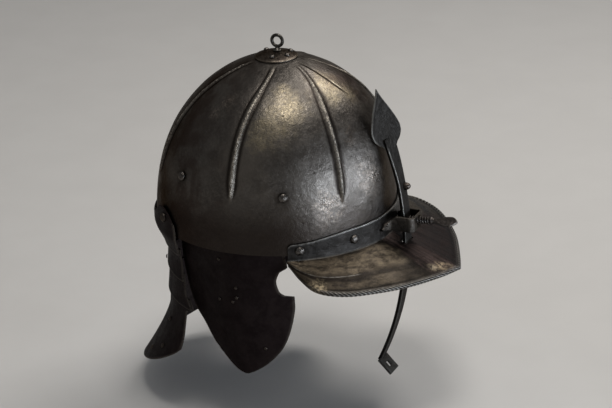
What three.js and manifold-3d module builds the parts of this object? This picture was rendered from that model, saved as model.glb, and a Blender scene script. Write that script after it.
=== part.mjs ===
// Zischaegge, a seventeenth-century lobster-tailed pot helmet, in millimetres.
// +Z is up. The wearer looks along -Y and the wearer's right hand is at -X.
// The origin is the centre of the skull's open rim, where the head goes in.
// Every plate is a steel wall of its real thickness, and touching plates keep a small gap.
import * as THREE from 'three';
import { mergeVertices } from 'three/addons/utils/BufferGeometryUtils.js';
import Module from 'manifold-3d';

const wasm = await Module();
wasm.setup();

// ---- driving dimensions -------------------------------------------------------------
const GAP = 0.35;                 // clearance kept between touching plates

const SKULL = {
  front: 110, back: 106, side: 103, height: 147, wall: 1.8,
  apexForward: 6.3,               // the apex stands this far in front of the rim's centre
  rise: 2.75, frontFullness: 0.5, roundness: 1.81,
};
const RIB = {
  angles: [32, 87, 146],          // from the front, repeated on both sides
  halfWidth: 2.8, height: 2, lowEnd: 46, highEnd: 142,
  swing: 20,                      // how far the ribs sweep forward as they near the apex, in degrees
};
const APEX = { radius: 18.9, thickness: 1.4, crown: 1.6, rivetCircle: 12.6 };
const EYE = { radius: 5, wire: 1.5, height: 159.3, stalkFoot: 4, stalkNeck: 1.9 };

const PEAK = {
  thickness: 1.8, seatDrop: 4, halfAngle: 59.5, beadRadius: 2.3, beadEnd: 1.1,
  flangeTopFront: 17, flangeTopEnd: 10.5, slotWidth: 15.8, slotLength: 5.8,
};
// Near half of the peak's free edge: forward, sideways, up. The other half mirrors it.
const PEAK_EDGE = [
  [175, 0, -28.6], [167, 20.3, -28.2], [149.6, 57, -25.6], [128.5, 86.3, -22.8], [113, 101, -21.4],
  [96.5, 108.8, -19.6], [83, 108.6, -17.6], [68, 100.8, -14], [55.5, 93, -8],
];

const BAR = {
  arcForward: -150, arcUp: -13.5, arcRadius: 276.8,   // circle of the bar's middle
  width: 14, footWidth: 10, thickness: 3.2, topUp: 80, footUp: -129,
  twist: 12, twistFrom: 40,       // the bar turns by this many degrees above that height
};
const LEAF = { length: 50, width: 32, thickness: 2.2, lean: 15, turn: 28 };
const STOP = { up: 38.7, right: -3.4, radius: 3.4, height: 5.8 };
const FOOT = { length: 17, width: 17, thickness: 2.6, hole: 5, pitch: 45 };

const STAPLE = {
  front: 137.5, halfWidth: 12.5, strap: 2.4, low: 2.6, high: 16, footReach: 20.5,
  shoulder: 121, fall: 0.73,      // behind the shoulder the walls' tops slope down at this rate
};
const SCREW = {
  up: 9.8, shank: 3.4, hole: 3.9, shoulder: 150, leafLength: 22, leafWidth: 11.5,
  leafThickness: 2.2, tilt: 24,
};

const CHEEK = { thickness: 1.6, topUp: 9, lean: 0.08 };
const LAME = { thickness: 1.5, columns: 22, tuck: 2.4 };

// ---- frame, solids and small helpers ------------------------------------------------
const RAD = Math.PI / 180;
const at = (forward, right, up) => new THREE.Vector3(-right, -forward, up);
const lerp = (a, b, t) => a + (b - a) * t;
const smooth = (t) => { const c = Math.min(Math.max(t, 0), 1); return c * c * (3 - 2 * c); };

// Straight-line lookup in a list of [key, value] pairs with rising keys.
function lookup(pairs, key) {
  const last = pairs.length - 1;
  if (key <= pairs[0][0]) return pairs[0][1];
  if (key >= pairs[last][0]) return pairs[last][1];
  const i = pairs.findIndex(([k]) => k > key);
  const [k0, v0] = pairs[i - 1];
  const [k1, v1] = pairs[i];
  return lerp(v0, v1, (key - k0) / (k1 - k0));
}

function geometryFrom(points, triangles) {
  const geometry = new THREE.BufferGeometry();
  const flat = points.flatMap((p) => [p.x, p.y, p.z]);
  geometry.setAttribute('position', new THREE.Float32BufferAttribute(flat, 3));
  geometry.setIndex(triangles.flat());
  let volume = 0;
  for (const [a, b, c] of triangles) {
    volume += points[a].dot(new THREE.Vector3().crossVectors(points[b], points[c]));
  }
  if (volume < 0) geometry.setIndex(triangles.flatMap(([a, b, c]) => [a, c, b]));
  return geometry;
}

function solid(geometry) {
  const bare = geometry.clone();
  for (const name of ['normal', 'uv']) bare.deleteAttribute(name);
  const welded = mergeVertices(bare, 1e-4);
  return new wasm.Manifold(new wasm.Mesh({
    numProp: 3,
    vertProperties: new Float32Array(welded.attributes.position.array),
    triVerts: new Uint32Array(welded.index.array),
  }));
}

function geometryOf(manifold) {
  const mesh = manifold.getMesh();
  const geometry = new THREE.BufferGeometry();
  geometry.setAttribute('position', new THREE.BufferAttribute(new Float32Array(mesh.vertProperties), 3));
  geometry.setIndex(new THREE.BufferAttribute(new Uint32Array(mesh.triVerts), 1));
  return geometry;
}

// A plate of even thickness on a grid of middle-surface points, closed along its four edges.
function plate(grid, thickness) {
  const rows = grid.length;
  const columns = grid[0].length;
  const point = (i, j) => grid[Math.min(Math.max(i, 0), rows - 1)][Math.min(Math.max(j, 0), columns - 1)];
  const points = [];
  for (const side of [1, -1]) {
    for (let i = 0; i < rows; i += 1) {
      for (let j = 0; j < columns; j += 1) {
        const along = new THREE.Vector3().subVectors(point(i + 1, j), point(i - 1, j));
        const across = new THREE.Vector3().subVectors(point(i, j + 1), point(i, j - 1));
        const normal = new THREE.Vector3().crossVectors(along, across).normalize();
        points.push(point(i, j).clone().addScaledVector(normal, side * thickness / 2));
      }
    }
  }
  const index = (side, i, j) => side * rows * columns + i * columns + j;
  const triangles = [];
  const quad = (a, b, c, d) => triangles.push([a, b, c], [a, c, d]);
  for (let i = 0; i < rows - 1; i += 1) {
    for (let j = 0; j < columns - 1; j += 1) {
      quad(index(0, i, j), index(0, i + 1, j), index(0, i + 1, j + 1), index(0, i, j + 1));
      quad(index(1, i, j), index(1, i, j + 1), index(1, i + 1, j + 1), index(1, i + 1, j));
    }
    quad(index(0, i, 0), index(1, i, 0), index(1, i + 1, 0), index(0, i + 1, 0));
    const last = columns - 1;
    quad(index(0, i, last), index(0, i + 1, last), index(1, i + 1, last), index(1, i, last));
  }
  for (let j = 0; j < columns - 1; j += 1) {
    quad(index(0, 0, j), index(0, 0, j + 1), index(1, 0, j + 1), index(1, 0, j));
    quad(index(0, rows - 1, j), index(1, rows - 1, j), index(1, rows - 1, j + 1), index(0, rows - 1, j + 1));
  }
  return geometryFrom(points, triangles);
}

// A bar swept through a list of equal closed sections, with flat ends.
function sweep(sections) {
  const n = sections[0].length;
  const points = sections.flat();
  const triangles = [];
  for (let i = 0; i < sections.length - 1; i += 1) {
    for (let j = 0; j < n; j += 1) {
      const a = i * n + j;
      const b = i * n + (j + 1) % n;
      triangles.push([a, b, b + n], [a, b + n, a + n]);
    }
  }
  const end = (sections.length - 1) * n;
  for (let j = 1; j < n - 1; j += 1) triangles.push([0, j + 1, j], [end, end + j, end + j + 1]);
  return geometryFrom(points, triangles);
}

// ---- skull surface ------------------------------------------------------------------
function rimRadius(phi, inset) {
  const long = (Math.cos(phi) >= 0 ? SKULL.front : SKULL.back) - inset;
  const wide = SKULL.side - inset;
  return 1 / Math.hypot(Math.cos(phi) / long, Math.sin(phi) / wide);
}

// How wide the dome still is at a height, as a share of its rim.
function domeShare(phi, up, inset) {
  const rise = SKULL.rise + SKULL.frontFullness * Math.cos(phi);
  const t = Math.min(Math.max(up / (SKULL.height - inset), 0), 1);
  return (1 - t ** rise) ** (1 / SKULL.roundness);
}

// The inverse: the height at which the dome has narrowed to a share of its rim.
function domeHeight(phi, share, inset = 0) {
  const rise = SKULL.rise + SKULL.frontFullness * Math.cos(phi);
  return (SKULL.height - inset) * (1 - share ** SKULL.roundness) ** (1 / rise);
}

// The ribs are straight seams low down and sweep towards the front near the apex.
function swung(phi, up) {
  return phi - RIB.swing * RAD * Math.sin(phi) * (up / SKULL.height) ** 8;
}

function ribRelief(phi, up) {
  const degrees = Math.abs(Math.atan2(Math.sin(phi), Math.cos(phi))) / RAD;
  const off = Math.min(...RIB.angles.map((angle) => Math.abs(degrees - angle)));
  const crest = Math.cos(Math.min(off / RIB.halfWidth, 1) * Math.PI / 2) ** 2;
  const ends = smooth((up - RIB.lowEnd) / 5) * smooth((RIB.highEnd - up) / 12);
  return RIB.height * crest * ends * lerp(1, 0.6, up / SKULL.height);
}

// A point on the skull: a seam angle from the front towards the wearer's right, and a height.
function skullPoint(seam, up, inset = 0) {
  const phi = swung(seam, up);
  const share = domeShare(phi, up, inset);
  const reach = rimRadius(phi, inset) * share + ribRelief(seam, up);
  const shift = SKULL.apexForward * (1 - share);
  return at(shift + reach * Math.cos(phi), reach * Math.sin(phi), up);
}

function skullNormal(phi, up) {
  const step = 0.02;
  const low = Math.max(up - 1, 0.01);
  const around = new THREE.Vector3().subVectors(skullPoint(phi + step, up), skullPoint(phi - step, up));
  const rise = new THREE.Vector3().subVectors(skullPoint(phi, low + 2), skullPoint(phi, low));
  const normal = new THREE.Vector3().crossVectors(rise, around).normalize();
  const outward = skullPoint(phi, up).setZ(0);
  return normal.dot(outward) < 0 ? normal.negate() : normal;
}

function skull() {
  const columns = [];
  const ribs = RIB.angles.flatMap((angle) => [angle, 360 - angle]).sort((a, b) => a - b);
  ribs.forEach((angle, i) => {
    const next = i + 1 < ribs.length ? ribs[i + 1] : ribs[0] + 360;
    for (const offset of [-1, -0.5, 0, 0.5, 1]) columns.push(angle + offset * RIB.halfWidth);
    const spaces = 5;
    for (let k = 1; k < spaces; k += 1) {
      columns.push(lerp(angle + RIB.halfWidth, next - RIB.halfWidth, k / spaces));
    }
  });
  const heights = [0, 16, 32, 46, 50, 66, 81, 95, 108, 119, 128, 135.5, 140.5, 144];
  const rows = (inset) => heights.map((up) => columns.map((deg) => (
    skullPoint(deg * RAD, Math.min(up, up * (SKULL.height - inset) / SKULL.height), inset))));
  const outer = rows(0);
  const inner = rows(SKULL.wall);
  const n = columns.length;
  const points = [...outer.flat(), ...inner.flat()];
  const poleOut = points.push(at(SKULL.apexForward, 0, SKULL.height)) - 1;
  const poleIn = points.push(at(SKULL.apexForward, 0, SKULL.height - SKULL.wall)) - 1;
  const base = heights.length * n;
  const triangles = [];
  for (let j = 0; j < n; j += 1) {
    const k = (j + 1) % n;
    for (let i = 0; i < heights.length - 1; i += 1) {
      const [a, b, c, d] = [i * n + j, i * n + k, (i + 1) * n + k, (i + 1) * n + j];
      triangles.push([a, b, c], [a, c, d]);
      triangles.push([base + a, base + c, base + b], [base + a, base + d, base + c]);
    }
    const top = (heights.length - 1) * n;
    triangles.push([top + j, top + k, poleOut], [base + top + k, base + top + j, poleIn]);
    triangles.push([j, base + k, k], [j, base + j, base + k]);
  }
  return geometryFrom(points, triangles);
}

// ---- apex: plate and eye -----------------------------------------------------------
function apexPoint(radius, phi, lift) {
  const share = radius / rimRadius(phi, 0);
  const shift = SKULL.apexForward * (1 - share);
  return at(shift + radius * Math.cos(phi), radius * Math.sin(phi), domeHeight(phi, share) + lift);
}

function apexPlate() {
  const sides = 32;
  const radii = [APEX.radius, 14, 7.5];
  const crown = (radius) => APEX.crown * (1 - (radius / APEX.radius) ** 2);
  const layer = (lift, raised) => radii.flatMap((radius) => (
    Array.from({ length: sides }, (_, j) => (
      apexPoint(radius, 2 * Math.PI * j / sides, lift + raised * crown(radius))))));
  const points = [...layer(GAP + APEX.thickness, 1), ...layer(GAP, 0)];
  const poleOut = points.push(at(SKULL.apexForward, 0, SKULL.height + GAP + APEX.thickness + APEX.crown)) - 1;
  const poleIn = points.push(at(SKULL.apexForward, 0, SKULL.height + GAP)) - 1;
  const base = radii.length * sides;
  const triangles = [];
  for (let j = 0; j < sides; j += 1) {
    const k = (j + 1) % sides;
    for (let i = 0; i < radii.length - 1; i += 1) {
      const [a, b, c, d] = [i * sides + j, i * sides + k, (i + 1) * sides + k, (i + 1) * sides + j];
      triangles.push([a, b, c], [a, c, d]);
      triangles.push([base + a, base + c, base + b], [base + a, base + d, base + c]);
    }
    const top = (radii.length - 1) * sides;
    triangles.push([top + j, top + k, poleOut], [base + top + k, base + top + j, poleIn]);
    triangles.push([j, base + k, k], [j, base + j, base + k]);
  }
  return geometryFrom(points, triangles);
}

function apexEye() {
  const foot = SKULL.height + 2 * GAP + APEX.thickness + APEX.crown;
  const ring = new THREE.TorusGeometry(EYE.radius, EYE.wire, 8, 20);
  ring.rotateY(Math.PI / 2);
  ring.translate(0, -SKULL.apexForward, EYE.height);
  const neckTop = EYE.height - EYE.radius + EYE.wire * 0.6;
  const stalk = new THREE.LatheGeometry([
    new THREE.Vector2(0, foot), new THREE.Vector2(EYE.stalkFoot, foot),
    new THREE.Vector2(EYE.stalkFoot * 0.9, foot + 0.9), new THREE.Vector2(EYE.stalkNeck, foot + 2.2),
    new THREE.Vector2(EYE.stalkNeck * 0.7, neckTop), new THREE.Vector2(0, neckTop),
  ], 12);
  stalk.rotateX(Math.PI / 2);
  stalk.translate(0, -SKULL.apexForward, 0);
  return geometryOf(solid(ring).add(solid(stalk)));
}

// ---- peak: flange, falling plate and turned edge ------------------------------------
function peakEdgeHalf(side) {
  return new THREE.CatmullRomCurve3(
    PEAK_EDGE.map(([forward, right, up]) => at(forward, side * right, up)), false, 'centripetal');
}

// The free edge from the wearer's right corner (u = -1) to the left corner (u = 1).
function peakEdge(u) {
  return peakEdgeHalf(u < 0 ? 1 : -1).getPointAt(Math.abs(u));
}

function peakSeat(u, up, inset) {
  const phi = -u * PEAK.halfAngle * RAD;
  const reach = rimRadius(phi, -inset);
  return at(reach * Math.cos(phi), reach * Math.sin(phi), up);
}

function flangeTop(u) {
  const end = smooth((Math.abs(u) - 0.93) / 0.07);
  return lerp(lerp(PEAK.flangeTopFront, PEAK.flangeTopEnd, smooth((Math.abs(u) - 0.45) / 0.55)), 6, end);
}

function peak() {
  const spans = 34;
  const steps = Array.from({ length: spans + 1 }, (_, i) => lerp(-1, 1, i / spans));
  const middle = GAP + PEAK.thickness / 2;
  const flange = plate(steps.map((u) => [0, 0.5, 1].map((v) => (
    peakSeat(u, lerp(-PEAK.seatDrop - 0.4, flangeTop(u), v), middle)))), PEAK.thickness);
  const fall = plate(steps.map((u) => [0, 1 / 3, 2 / 3, 1].map((v) => (
    new THREE.Vector3().lerpVectors(peakSeat(u, -PEAK.seatDrop, middle * 0.8), peakEdge(u), v)
  ))), PEAK.thickness);
  const beadSteps = Array.from({ length: 49 }, (_, i) => lerp(-1, 1, i / 48));
  const bead = sweep(beadSteps.map((u) => {
    const here = peakEdge(u);
    const before = peakEdge(Math.max(u - 0.01, -1));
    const after = peakEdge(Math.min(u + 0.01, 1));
    const run = new THREE.Vector3().subVectors(after, before).normalize();
    const out = new THREE.Vector3().crossVectors(run, new THREE.Vector3(0, 0, 1)).normalize();
    const upward = new THREE.Vector3().crossVectors(out, run).normalize();
    const radius = lerp(PEAK.beadRadius, PEAK.beadEnd, smooth((Math.abs(u) - 0.78) / 0.12));
    return Array.from({ length: 8 }, (_, j) => {
      const angle = (j + 0.5) * Math.PI / 4;
      return here.clone().addScaledVector(out, radius * Math.cos(angle))
        .addScaledVector(upward, radius * Math.sin(angle));
    });
  }));
  const slot = new THREE.BoxGeometry(PEAK.slotWidth, PEAK.slotLength, 30);
  const bar = barPoint(-8, 0, 0);
  slot.translate(0, bar.y, -8);
  return geometryOf(solid(flange).add(solid(fall)).add(solid(bead)).subtract(solid(slot)));
}

// ---- nasal --------------------------------------------------------------------------
// A point of the bar: its height, a distance to the wearer's right, and one outwards.
function barPoint(up, right, out) {
  const angle = Math.asin((up - BAR.arcUp) / BAR.arcRadius);
  const reach = BAR.arcRadius + out;
  return at(BAR.arcForward + reach * Math.cos(angle), right, BAR.arcUp + reach * Math.sin(angle));
}

function barSlope(up) {
  return Math.asin((up - BAR.arcUp) / BAR.arcRadius);
}

// The same, with the bar's own twist near its top: its right edge goes back.
function twistedPoint(up, right, out) {
  const twist = BAR.twist * RAD * smooth((up - BAR.twistFrom) / (BAR.topUp - BAR.twistFrom));
  const [cos, sin] = [Math.cos(twist), Math.sin(twist)];
  return barPoint(up, right * cos + out * sin, out * cos - right * sin);
}

// A half outline of the spade leaf: [share of length, half width as a share of the whole width].
const LEAF_HALF = [
  [-0.06, 0.2], [0, 0.27], [0.03, 0.34], [0.09, 0.42], [0.17, 0.485], [0.25, 0.495], [0.33, 0.47],
  [0.5, 0.37], [0.6, 0.3], [0.8, 0.14], [0.9, 0.065], [1, 0],
];

// The screw's leaf is widest near its blunt end.
const WING_HALF = [
  [-0.06, 0.15], [0, 0.17], [0.15, 0.27], [0.35, 0.4], [0.55, 0.49], [0.72, 0.5], [0.87, 0.36], [1, 0.08],
];

function leafGeometry(half, length, width, thickness) {
  const right = half.map(([v, w]) => new THREE.Vector2(w * width, v * length));
  const left = right.filter((point) => point.x > 0).reverse()
    .map((point) => new THREE.Vector2(-point.x, point.y));
  const outline = new THREE.Shape([...right, ...left]);
  const leaf = new THREE.ExtrudeGeometry(outline, { depth: thickness, bevelEnabled: false });
  leaf.translate(0, 0, -thickness / 2);
  return leaf;                    // flat in XY, pointing along +Y, thickness along Z
}

function nasalBar() {
  const steps = 26;
  const deep = BAR.thickness / 2;
  const bar = sweep(Array.from({ length: steps + 1 }, (_, i) => {
    const up = lerp(BAR.footUp, BAR.topUp + 3, i / steps);
    const half = lerp(BAR.footWidth, BAR.width, smooth((up - BAR.footUp) / 110)) / 2;
    const corners = [[half, deep], [-half, deep], [-half, -deep], [half, -deep]];
    return corners.map(([right, out]) => twistedPoint(up, right, out));
  }));

  const leaf = leafGeometry(LEAF_HALF, LEAF.length, LEAF.width, LEAF.thickness);
  leaf.rotateX(Math.PI / 2);
  leaf.rotateZ(-LEAF.turn * RAD);
  leaf.rotateX(-LEAF.lean * RAD);
  const leafBase = barPoint(BAR.topUp - 2, 0, 0);
  leaf.translate(leafBase.x, leafBase.y, leafBase.z);

  const outline = new THREE.Shape([
    new THREE.Vector2(-FOOT.width / 2, 0), new THREE.Vector2(FOOT.width / 2, 0),
    new THREE.Vector2(FOOT.width / 2, FOOT.length), new THREE.Vector2(-FOOT.width / 2, FOOT.length),
  ]);
  const h = FOOT.hole / 2;
  const middle = FOOT.length * 0.52;
  outline.holes.push(new THREE.Path([
    new THREE.Vector2(-h, middle - h), new THREE.Vector2(-h, middle + h),
    new THREE.Vector2(h, middle + h), new THREE.Vector2(h, middle - h),
  ]));
  const foot = new THREE.ExtrudeGeometry(outline, { depth: FOOT.thickness, bevelEnabled: false });
  foot.translate(0, 0, -FOOT.thickness / 2);
  foot.rotateX(Math.PI + FOOT.pitch * RAD);
  const heel = barPoint(BAR.footUp + 1.2, 0, 0);
  foot.translate(heel.x, heel.y, heel.z);
  return geometryOf(solid(bar).add(solid(leaf)).add(solid(foot)));
}

// ---- staple and wing screw ----------------------------------------------------------
// The flange's outer face, straight ahead of a point that far to the side.
function flangeFace(right) {
  const seat = PEAK.thickness + 2 * GAP + 0.3;
  const phi = Math.asin(right / (SKULL.side + seat));
  return rimRadius(phi, -seat) * Math.cos(phi);
}

// The bent strap in plan: two feet on the flange, two side walls and a front wall.
function stapleStrap() {
  const { front, halfWidth, strap, footReach } = STAPLE;
  const inner = halfWidth - strap;
  const half = [
    [footReach, flangeFace(footReach)], [(footReach + inner) / 2, flangeFace((footReach + inner) / 2)],
    [inner, flangeFace(inner)], [inner, front - strap],
  ];
  const outer = [
    [halfWidth - 1.5, front], [halfWidth, front - 1.5], [halfWidth, flangeFace(halfWidth) + strap],
    [footReach, flangeFace(footReach) + strap],
  ];
  const mirror = (list) => list.map(([right, forward]) => [-right, forward]).reverse();
  const outline = [...half, ...mirror(half), ...mirror(outer), ...outer];
  const shape = new THREE.Shape(outline.map(([right, forward]) => new THREE.Vector2(-right, -forward)));
  return new THREE.ExtrudeGeometry(shape, { depth: STAPLE.high - STAPLE.low, bevelEnabled: false });
}

// The strap's outline seen from the front, with its feet drawn out to points: sideways, up.
function stapleFace() {
  const { halfWidth, footReach, low, high } = STAPLE;
  const right = [
    [halfWidth, high + 1], [halfWidth + 1.6, high - 1.2], [footReach, low + 3], [footReach - 1.4, low + 0.6],
    [halfWidth, low - 1],
  ];
  const left = right.slice().reverse().map(([x, y]) => [-x, y]);
  const shape = new THREE.Shape([...right, ...left].map(([x, y]) => new THREE.Vector2(x, y)));
  return new THREE.ExtrudeGeometry(shape, { depth: 60, bevelEnabled: false });
}

// What is cut off the top of the side walls and feet, as a wedge lying across the helmet.
function stapleWedge() {
  const reach = 14;
  const width = 60;
  const { shoulder, fall, high } = STAPLE;
  const wedge = new THREE.ExtrudeGeometry(new THREE.Shape([
    new THREE.Vector2(shoulder, high), new THREE.Vector2(shoulder, high + 2),
    new THREE.Vector2(shoulder - reach, high + 2), new THREE.Vector2(shoulder - reach, high - reach * fall),
  ]), { depth: width, bevelEnabled: false });
  wedge.rotateX(Math.PI / 2);
  wedge.rotateZ(-Math.PI / 2);
  wedge.translate(width / 2, 0, 0);
  return wedge;
}

function staple() {
  const band = stapleStrap();
  band.translate(0, 0, STAPLE.low);
  const face = stapleFace();
  face.rotateX(Math.PI / 2);
  face.translate(0, -90, 0);
  const hole = new THREE.CylinderGeometry(SCREW.hole, SCREW.hole, 20, 24);
  hole.rotateX(-barSlope(SCREW.up));
  const centre = barPoint(SCREW.up, 0, 10);
  hole.translate(centre.x, centre.y, centre.z);
  return geometryOf(solid(band).intersect(solid(face)).subtract(solid(stapleWedge())).subtract(solid(hole)));
}

// The screw's axis runs square to the bar, out through the staple's front wall.
function wingScrew() {
  const start = BAR.thickness / 2 + GAP;
  const shoulder = SCREW.shoulder + barPoint(SCREW.up, 0, 0).y;
  const shank = new THREE.LatheGeometry([
    new THREE.Vector2(0, start), new THREE.Vector2(SCREW.shank - 0.6, start),
    new THREE.Vector2(SCREW.shank, start + 0.8),
    new THREE.Vector2(SCREW.shank, shoulder), new THREE.Vector2(SCREW.shank * 0.62, shoulder + 2.4),
    new THREE.Vector2(0, shoulder + 2.4),
  ], 20);
  const leaf = leafGeometry(WING_HALF, SCREW.leafLength, SCREW.leafWidth, SCREW.leafThickness);
  leaf.translate(0, shoulder + 1.4, 0);
  leaf.rotateY(SCREW.tilt * RAD);
  const screw = geometryOf(solid(shank).add(solid(leaf)));
  screw.rotateX(Math.PI);         // along -Y, then raised to the bar's slope
  screw.rotateX(-barSlope(SCREW.up));
  const centre = barPoint(SCREW.up, 0, 0);
  screw.translate(centre.x, centre.y, centre.z);
  return screw;
}

// ---- cheekpieces --------------------------------------------------------------------
// Front and rear edges of a cheekpiece, as [height, forward] pairs. The bite at the eye is in the front one.
const CHEEK_FRONT = [
  [-119.5, 12.5], [-116, 19.5], [-106, 32.5], [-92, 43.6], [-78, 49.3], [-63, 53], [-50, 54.8], [-41.8, 54.8],
  [-40.8, 48], [-36, 43.1], [-27, 41.4], [-17.5, 44.3], [-12.2, 50.8], [-4, 49.6], [10, 49],
];
const CHEEK_REAR = [
  [-119.5, 9.5], [-116.7, 3.3], [-105.5, -11], [-94.8, -24], [-81.5, -34.6], [-71, -44],
  [-50, -53], [-18, -58.5], [10, -58.5],
];
const CHEEK_ROWS = [
  -119.5, -117, -111, -103, -94, -85, -77, -68, -59, -50, -41.8, -40.8, -38.5, -36, -31.5, -27, -22, -17.5,
  -14.5, -12.2, -8, -2,
];

function cheekSurface(forward, up) {
  const lean = 1 + CHEEK.lean * Math.min(up, 0) / 100;
  const phi = Math.acos(Math.min(Math.max(forward / ((SKULL.front - 3.4) * lean), -1), 1));
  const tuck = lerp(3.4, 13.2, smooth((phi / RAD - 84) / 28));
  const long = (forward >= 0 ? SKULL.front : SKULL.back) - tuck;
  const wide = SKULL.side - tuck;
  return wide * lean * Math.sqrt(Math.max(1 - (forward / (long * lean)) ** 2, 0));
}

function cheekPoint(forward, up, side) {
  return at(forward, side * cheekSurface(forward, up), up);
}

function cheekpiece(side) {
  const rows = [...CHEEK_ROWS, CHEEK.topUp];
  const columns = 9;
  return plate(rows.map((up) => Array.from({ length: columns + 1 }, (_, j) => (
    cheekPoint(lerp(lookup(CHEEK_REAR, up), lookup(CHEEK_FRONT, up), j / columns), up, side)
  ))), CHEEK.thickness);
}

// ---- neck guard ---------------------------------------------------------------------
// The guard's own surface: inset from the skull's rim, and half angle from the back, by height.
const GUARD_INSET = [
  [-150, 7.4], [-92, 7.4], [-60, 8.2], [-32, 8.2], [-20, 5.8], [-10, 1.6], [-5, -0.8], [-1, -1.7], [26, -1.7],
];
const GUARD_HALF = [
  [-150, 57], [-120, 58], [-104, 59.5], [-76, 56.5], [-71, 62.5], [-66, 61], [-58, 57],
  [-38, 55], [-24, 54], [-10, 57.5],
  [0, 59], [11, 58], [19, 56], [23, 51],
];
// Top and bottom of each lame at the back; the last one flares out and dips at its middle.
const LAMES = [
  { top: 4, ears: 18, bottom: -22 },
  { top: -15, bottom: -47 },
  { top: -40, bottom: -71 },
  { top: -63, bottom: -108, flare: 28, dip: 41 },
];

function lamePoint(lame, share, v) {
  const dome = Math.cos(share * Math.PI / 2);
  const ears = (lame.ears ?? 0) * smooth((Math.abs(share) - 0.42) / 0.45);
  const top = lame.top + ears - 12 * (lame.ears ? smooth((Math.abs(share) - 0.9) / 0.1) ** 2 : 0);
  const up = lerp(top, lame.bottom - (lame.dip ?? 0) * dome ** 0.75, v);
  const phi = (180 - share * lookup(GUARD_HALF, up)) * RAD;
  const flare = (lame.flare ?? 0) * (0.3 + 0.7 * dome ** 0.6) * Math.max((v - 0.3) / 0.7, 0) ** 1.35;
  const tuck = lame === LAMES[0] ? 0 : LAME.tuck * (1 - v);
  const reach = rimRadius(phi, lookup(GUARD_INSET, up) + tuck) + flare;
  return at(reach * Math.cos(phi), reach * Math.sin(phi), up);
}

function lameGeometry(lame) {
  const count = lame.flare ? 9 : 6;
  const rows = Array.from({ length: count + 1 }, (_, i) => i / count);
  return plate(rows.map((v) => Array.from({ length: LAME.columns + 1 }, (_, j) => (
    lamePoint(lame, lerp(-1, 1, j / LAME.columns), v)))), LAME.thickness);
}

// ---- rivets -------------------------------------------------------------------------
function rivetGeometry(radius, height) {
  const profile = [new THREE.Vector2(0, 0), new THREE.Vector2(radius, 0)];
  for (const angle of [30, 60]) {
    profile.push(new THREE.Vector2(radius * Math.cos(angle * RAD), height * Math.sin(angle * RAD)));
  }
  profile.push(new THREE.Vector2(0, height));
  return new THREE.LatheGeometry(profile, 10);
}

const steelDark = { color: 0x3b3836, roughness: 0.42, metalness: 0.9 };
const steelGrey = { color: 0x4a4a48, roughness: 0.45, metalness: 0.9 };
const steelBrown = { color: 0x5a4a3a, roughness: 0.5, metalness: 0.8 };
const steelBlack = { color: 0x231f1d, roughness: 0.55, metalness: 0.8 };
const steelBright = { color: 0x8b857c, roughness: 0.35, metalness: 1 };

const helmet = new THREE.Group();

function add(name, geometry, finish, position, outward) {
  const mesh = new THREE.Mesh(geometry, new THREE.MeshStandardMaterial(finish));
  mesh.name = name;
  if (position) {
    mesh.quaternion.setFromUnitVectors(new THREE.Vector3(0, 1, 0), outward.clone().normalize());
    mesh.position.copy(position).addScaledVector(outward.clone().normalize(), GAP);
  }
  helmet.add(mesh);
  return mesh;
}

add('skull', skull(), steelDark);
add('apex_plate', apexPlate(), steelDark);
add('apex_eye', apexEye(), steelGrey);
add('peak', peak(), steelBrown);
add('nasal_bar', nasalBar(), steelGrey);
add('nasal_staple', staple(), steelGrey);
add('wing_screw', wingScrew(), steelBrown);
add('cheekpiece_right', cheekpiece(1), steelBlack);
add('cheekpiece_left', cheekpiece(-1), steelBlack);
LAMES.forEach((lame, i) => add(`neck_lame_${i + 1}`, lameGeometry(lame), steelBlack));

const SIDES = [['right', 1], ['left', -1]];

// Four rivets hold the apex plate, set by hand and not quite evenly.
[84, 20, -40, -160].forEach((degrees, i) => {
  const phi = degrees * RAD;
  const lift = GAP + APEX.thickness + APEX.crown * (1 - (APEX.rivetCircle / APEX.radius) ** 2);
  add(`apex_rivet_${i + 1}`, rivetGeometry(2.3, 1.5), steelBright,
    apexPoint(APEX.rivetCircle, phi, lift), at(0.2 * Math.cos(phi), 0.2 * Math.sin(phi), 1));
});

// Large rivets round the skull, which held the lining band.
for (const [name, side] of SIDES) {
  [[61, 52.5], [119, 57.5]].forEach(([degrees, up], i) => {
    const phi = side * degrees * RAD;
    add(`skull_rivet_${name}_${i + 1}`, rivetGeometry(4.2, 3), steelBright,
      skullPoint(phi, up), skullNormal(phi, up));
  });
}

// Rivets through the peak's flange.
for (const [name, side] of SIDES) {
  [[27.5, 7], [54, 5]].forEach(([degrees, up], i) => {
    const phi = side * degrees * RAD;
    const normal = skullNormal(phi, up);
    const seat = skullPoint(phi, up).addScaledVector(normal, GAP + PEAK.thickness + 0.15);
    add(`peak_rivet_${name}_${i + 1}`, rivetGeometry(4, 2.8), steelBright, seat, normal);
  });
}

// Small rivets of the cheekpieces' linings, each at a distance forward and a height.
const CHEEK_RIVETS = [[-9.5, -10.6], [6.5, -34.6], [6.6, -44.4], [2.7, -49], [-11.9, -50.4], [29, -92.3]];
for (const [name, side] of SIDES) {
  CHEEK_RIVETS.forEach(([forward, up], i) => {
    const step = 2;
    const along = cheekPoint(forward + step, up, side).sub(cheekPoint(forward - step, up, side));
    const rise = cheekPoint(forward, up + step, side).sub(cheekPoint(forward, up - step, side));
    const normal = new THREE.Vector3().crossVectors(along, rise).multiplyScalar(side).normalize();
    const seat = cheekPoint(forward, up, side).addScaledVector(normal, CHEEK.thickness / 2 + 0.1);
    add(`cheek_rivet_${name}_${i + 1}`, rivetGeometry(1.5, 0.9), steelBright, seat, normal);
  });
}

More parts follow.
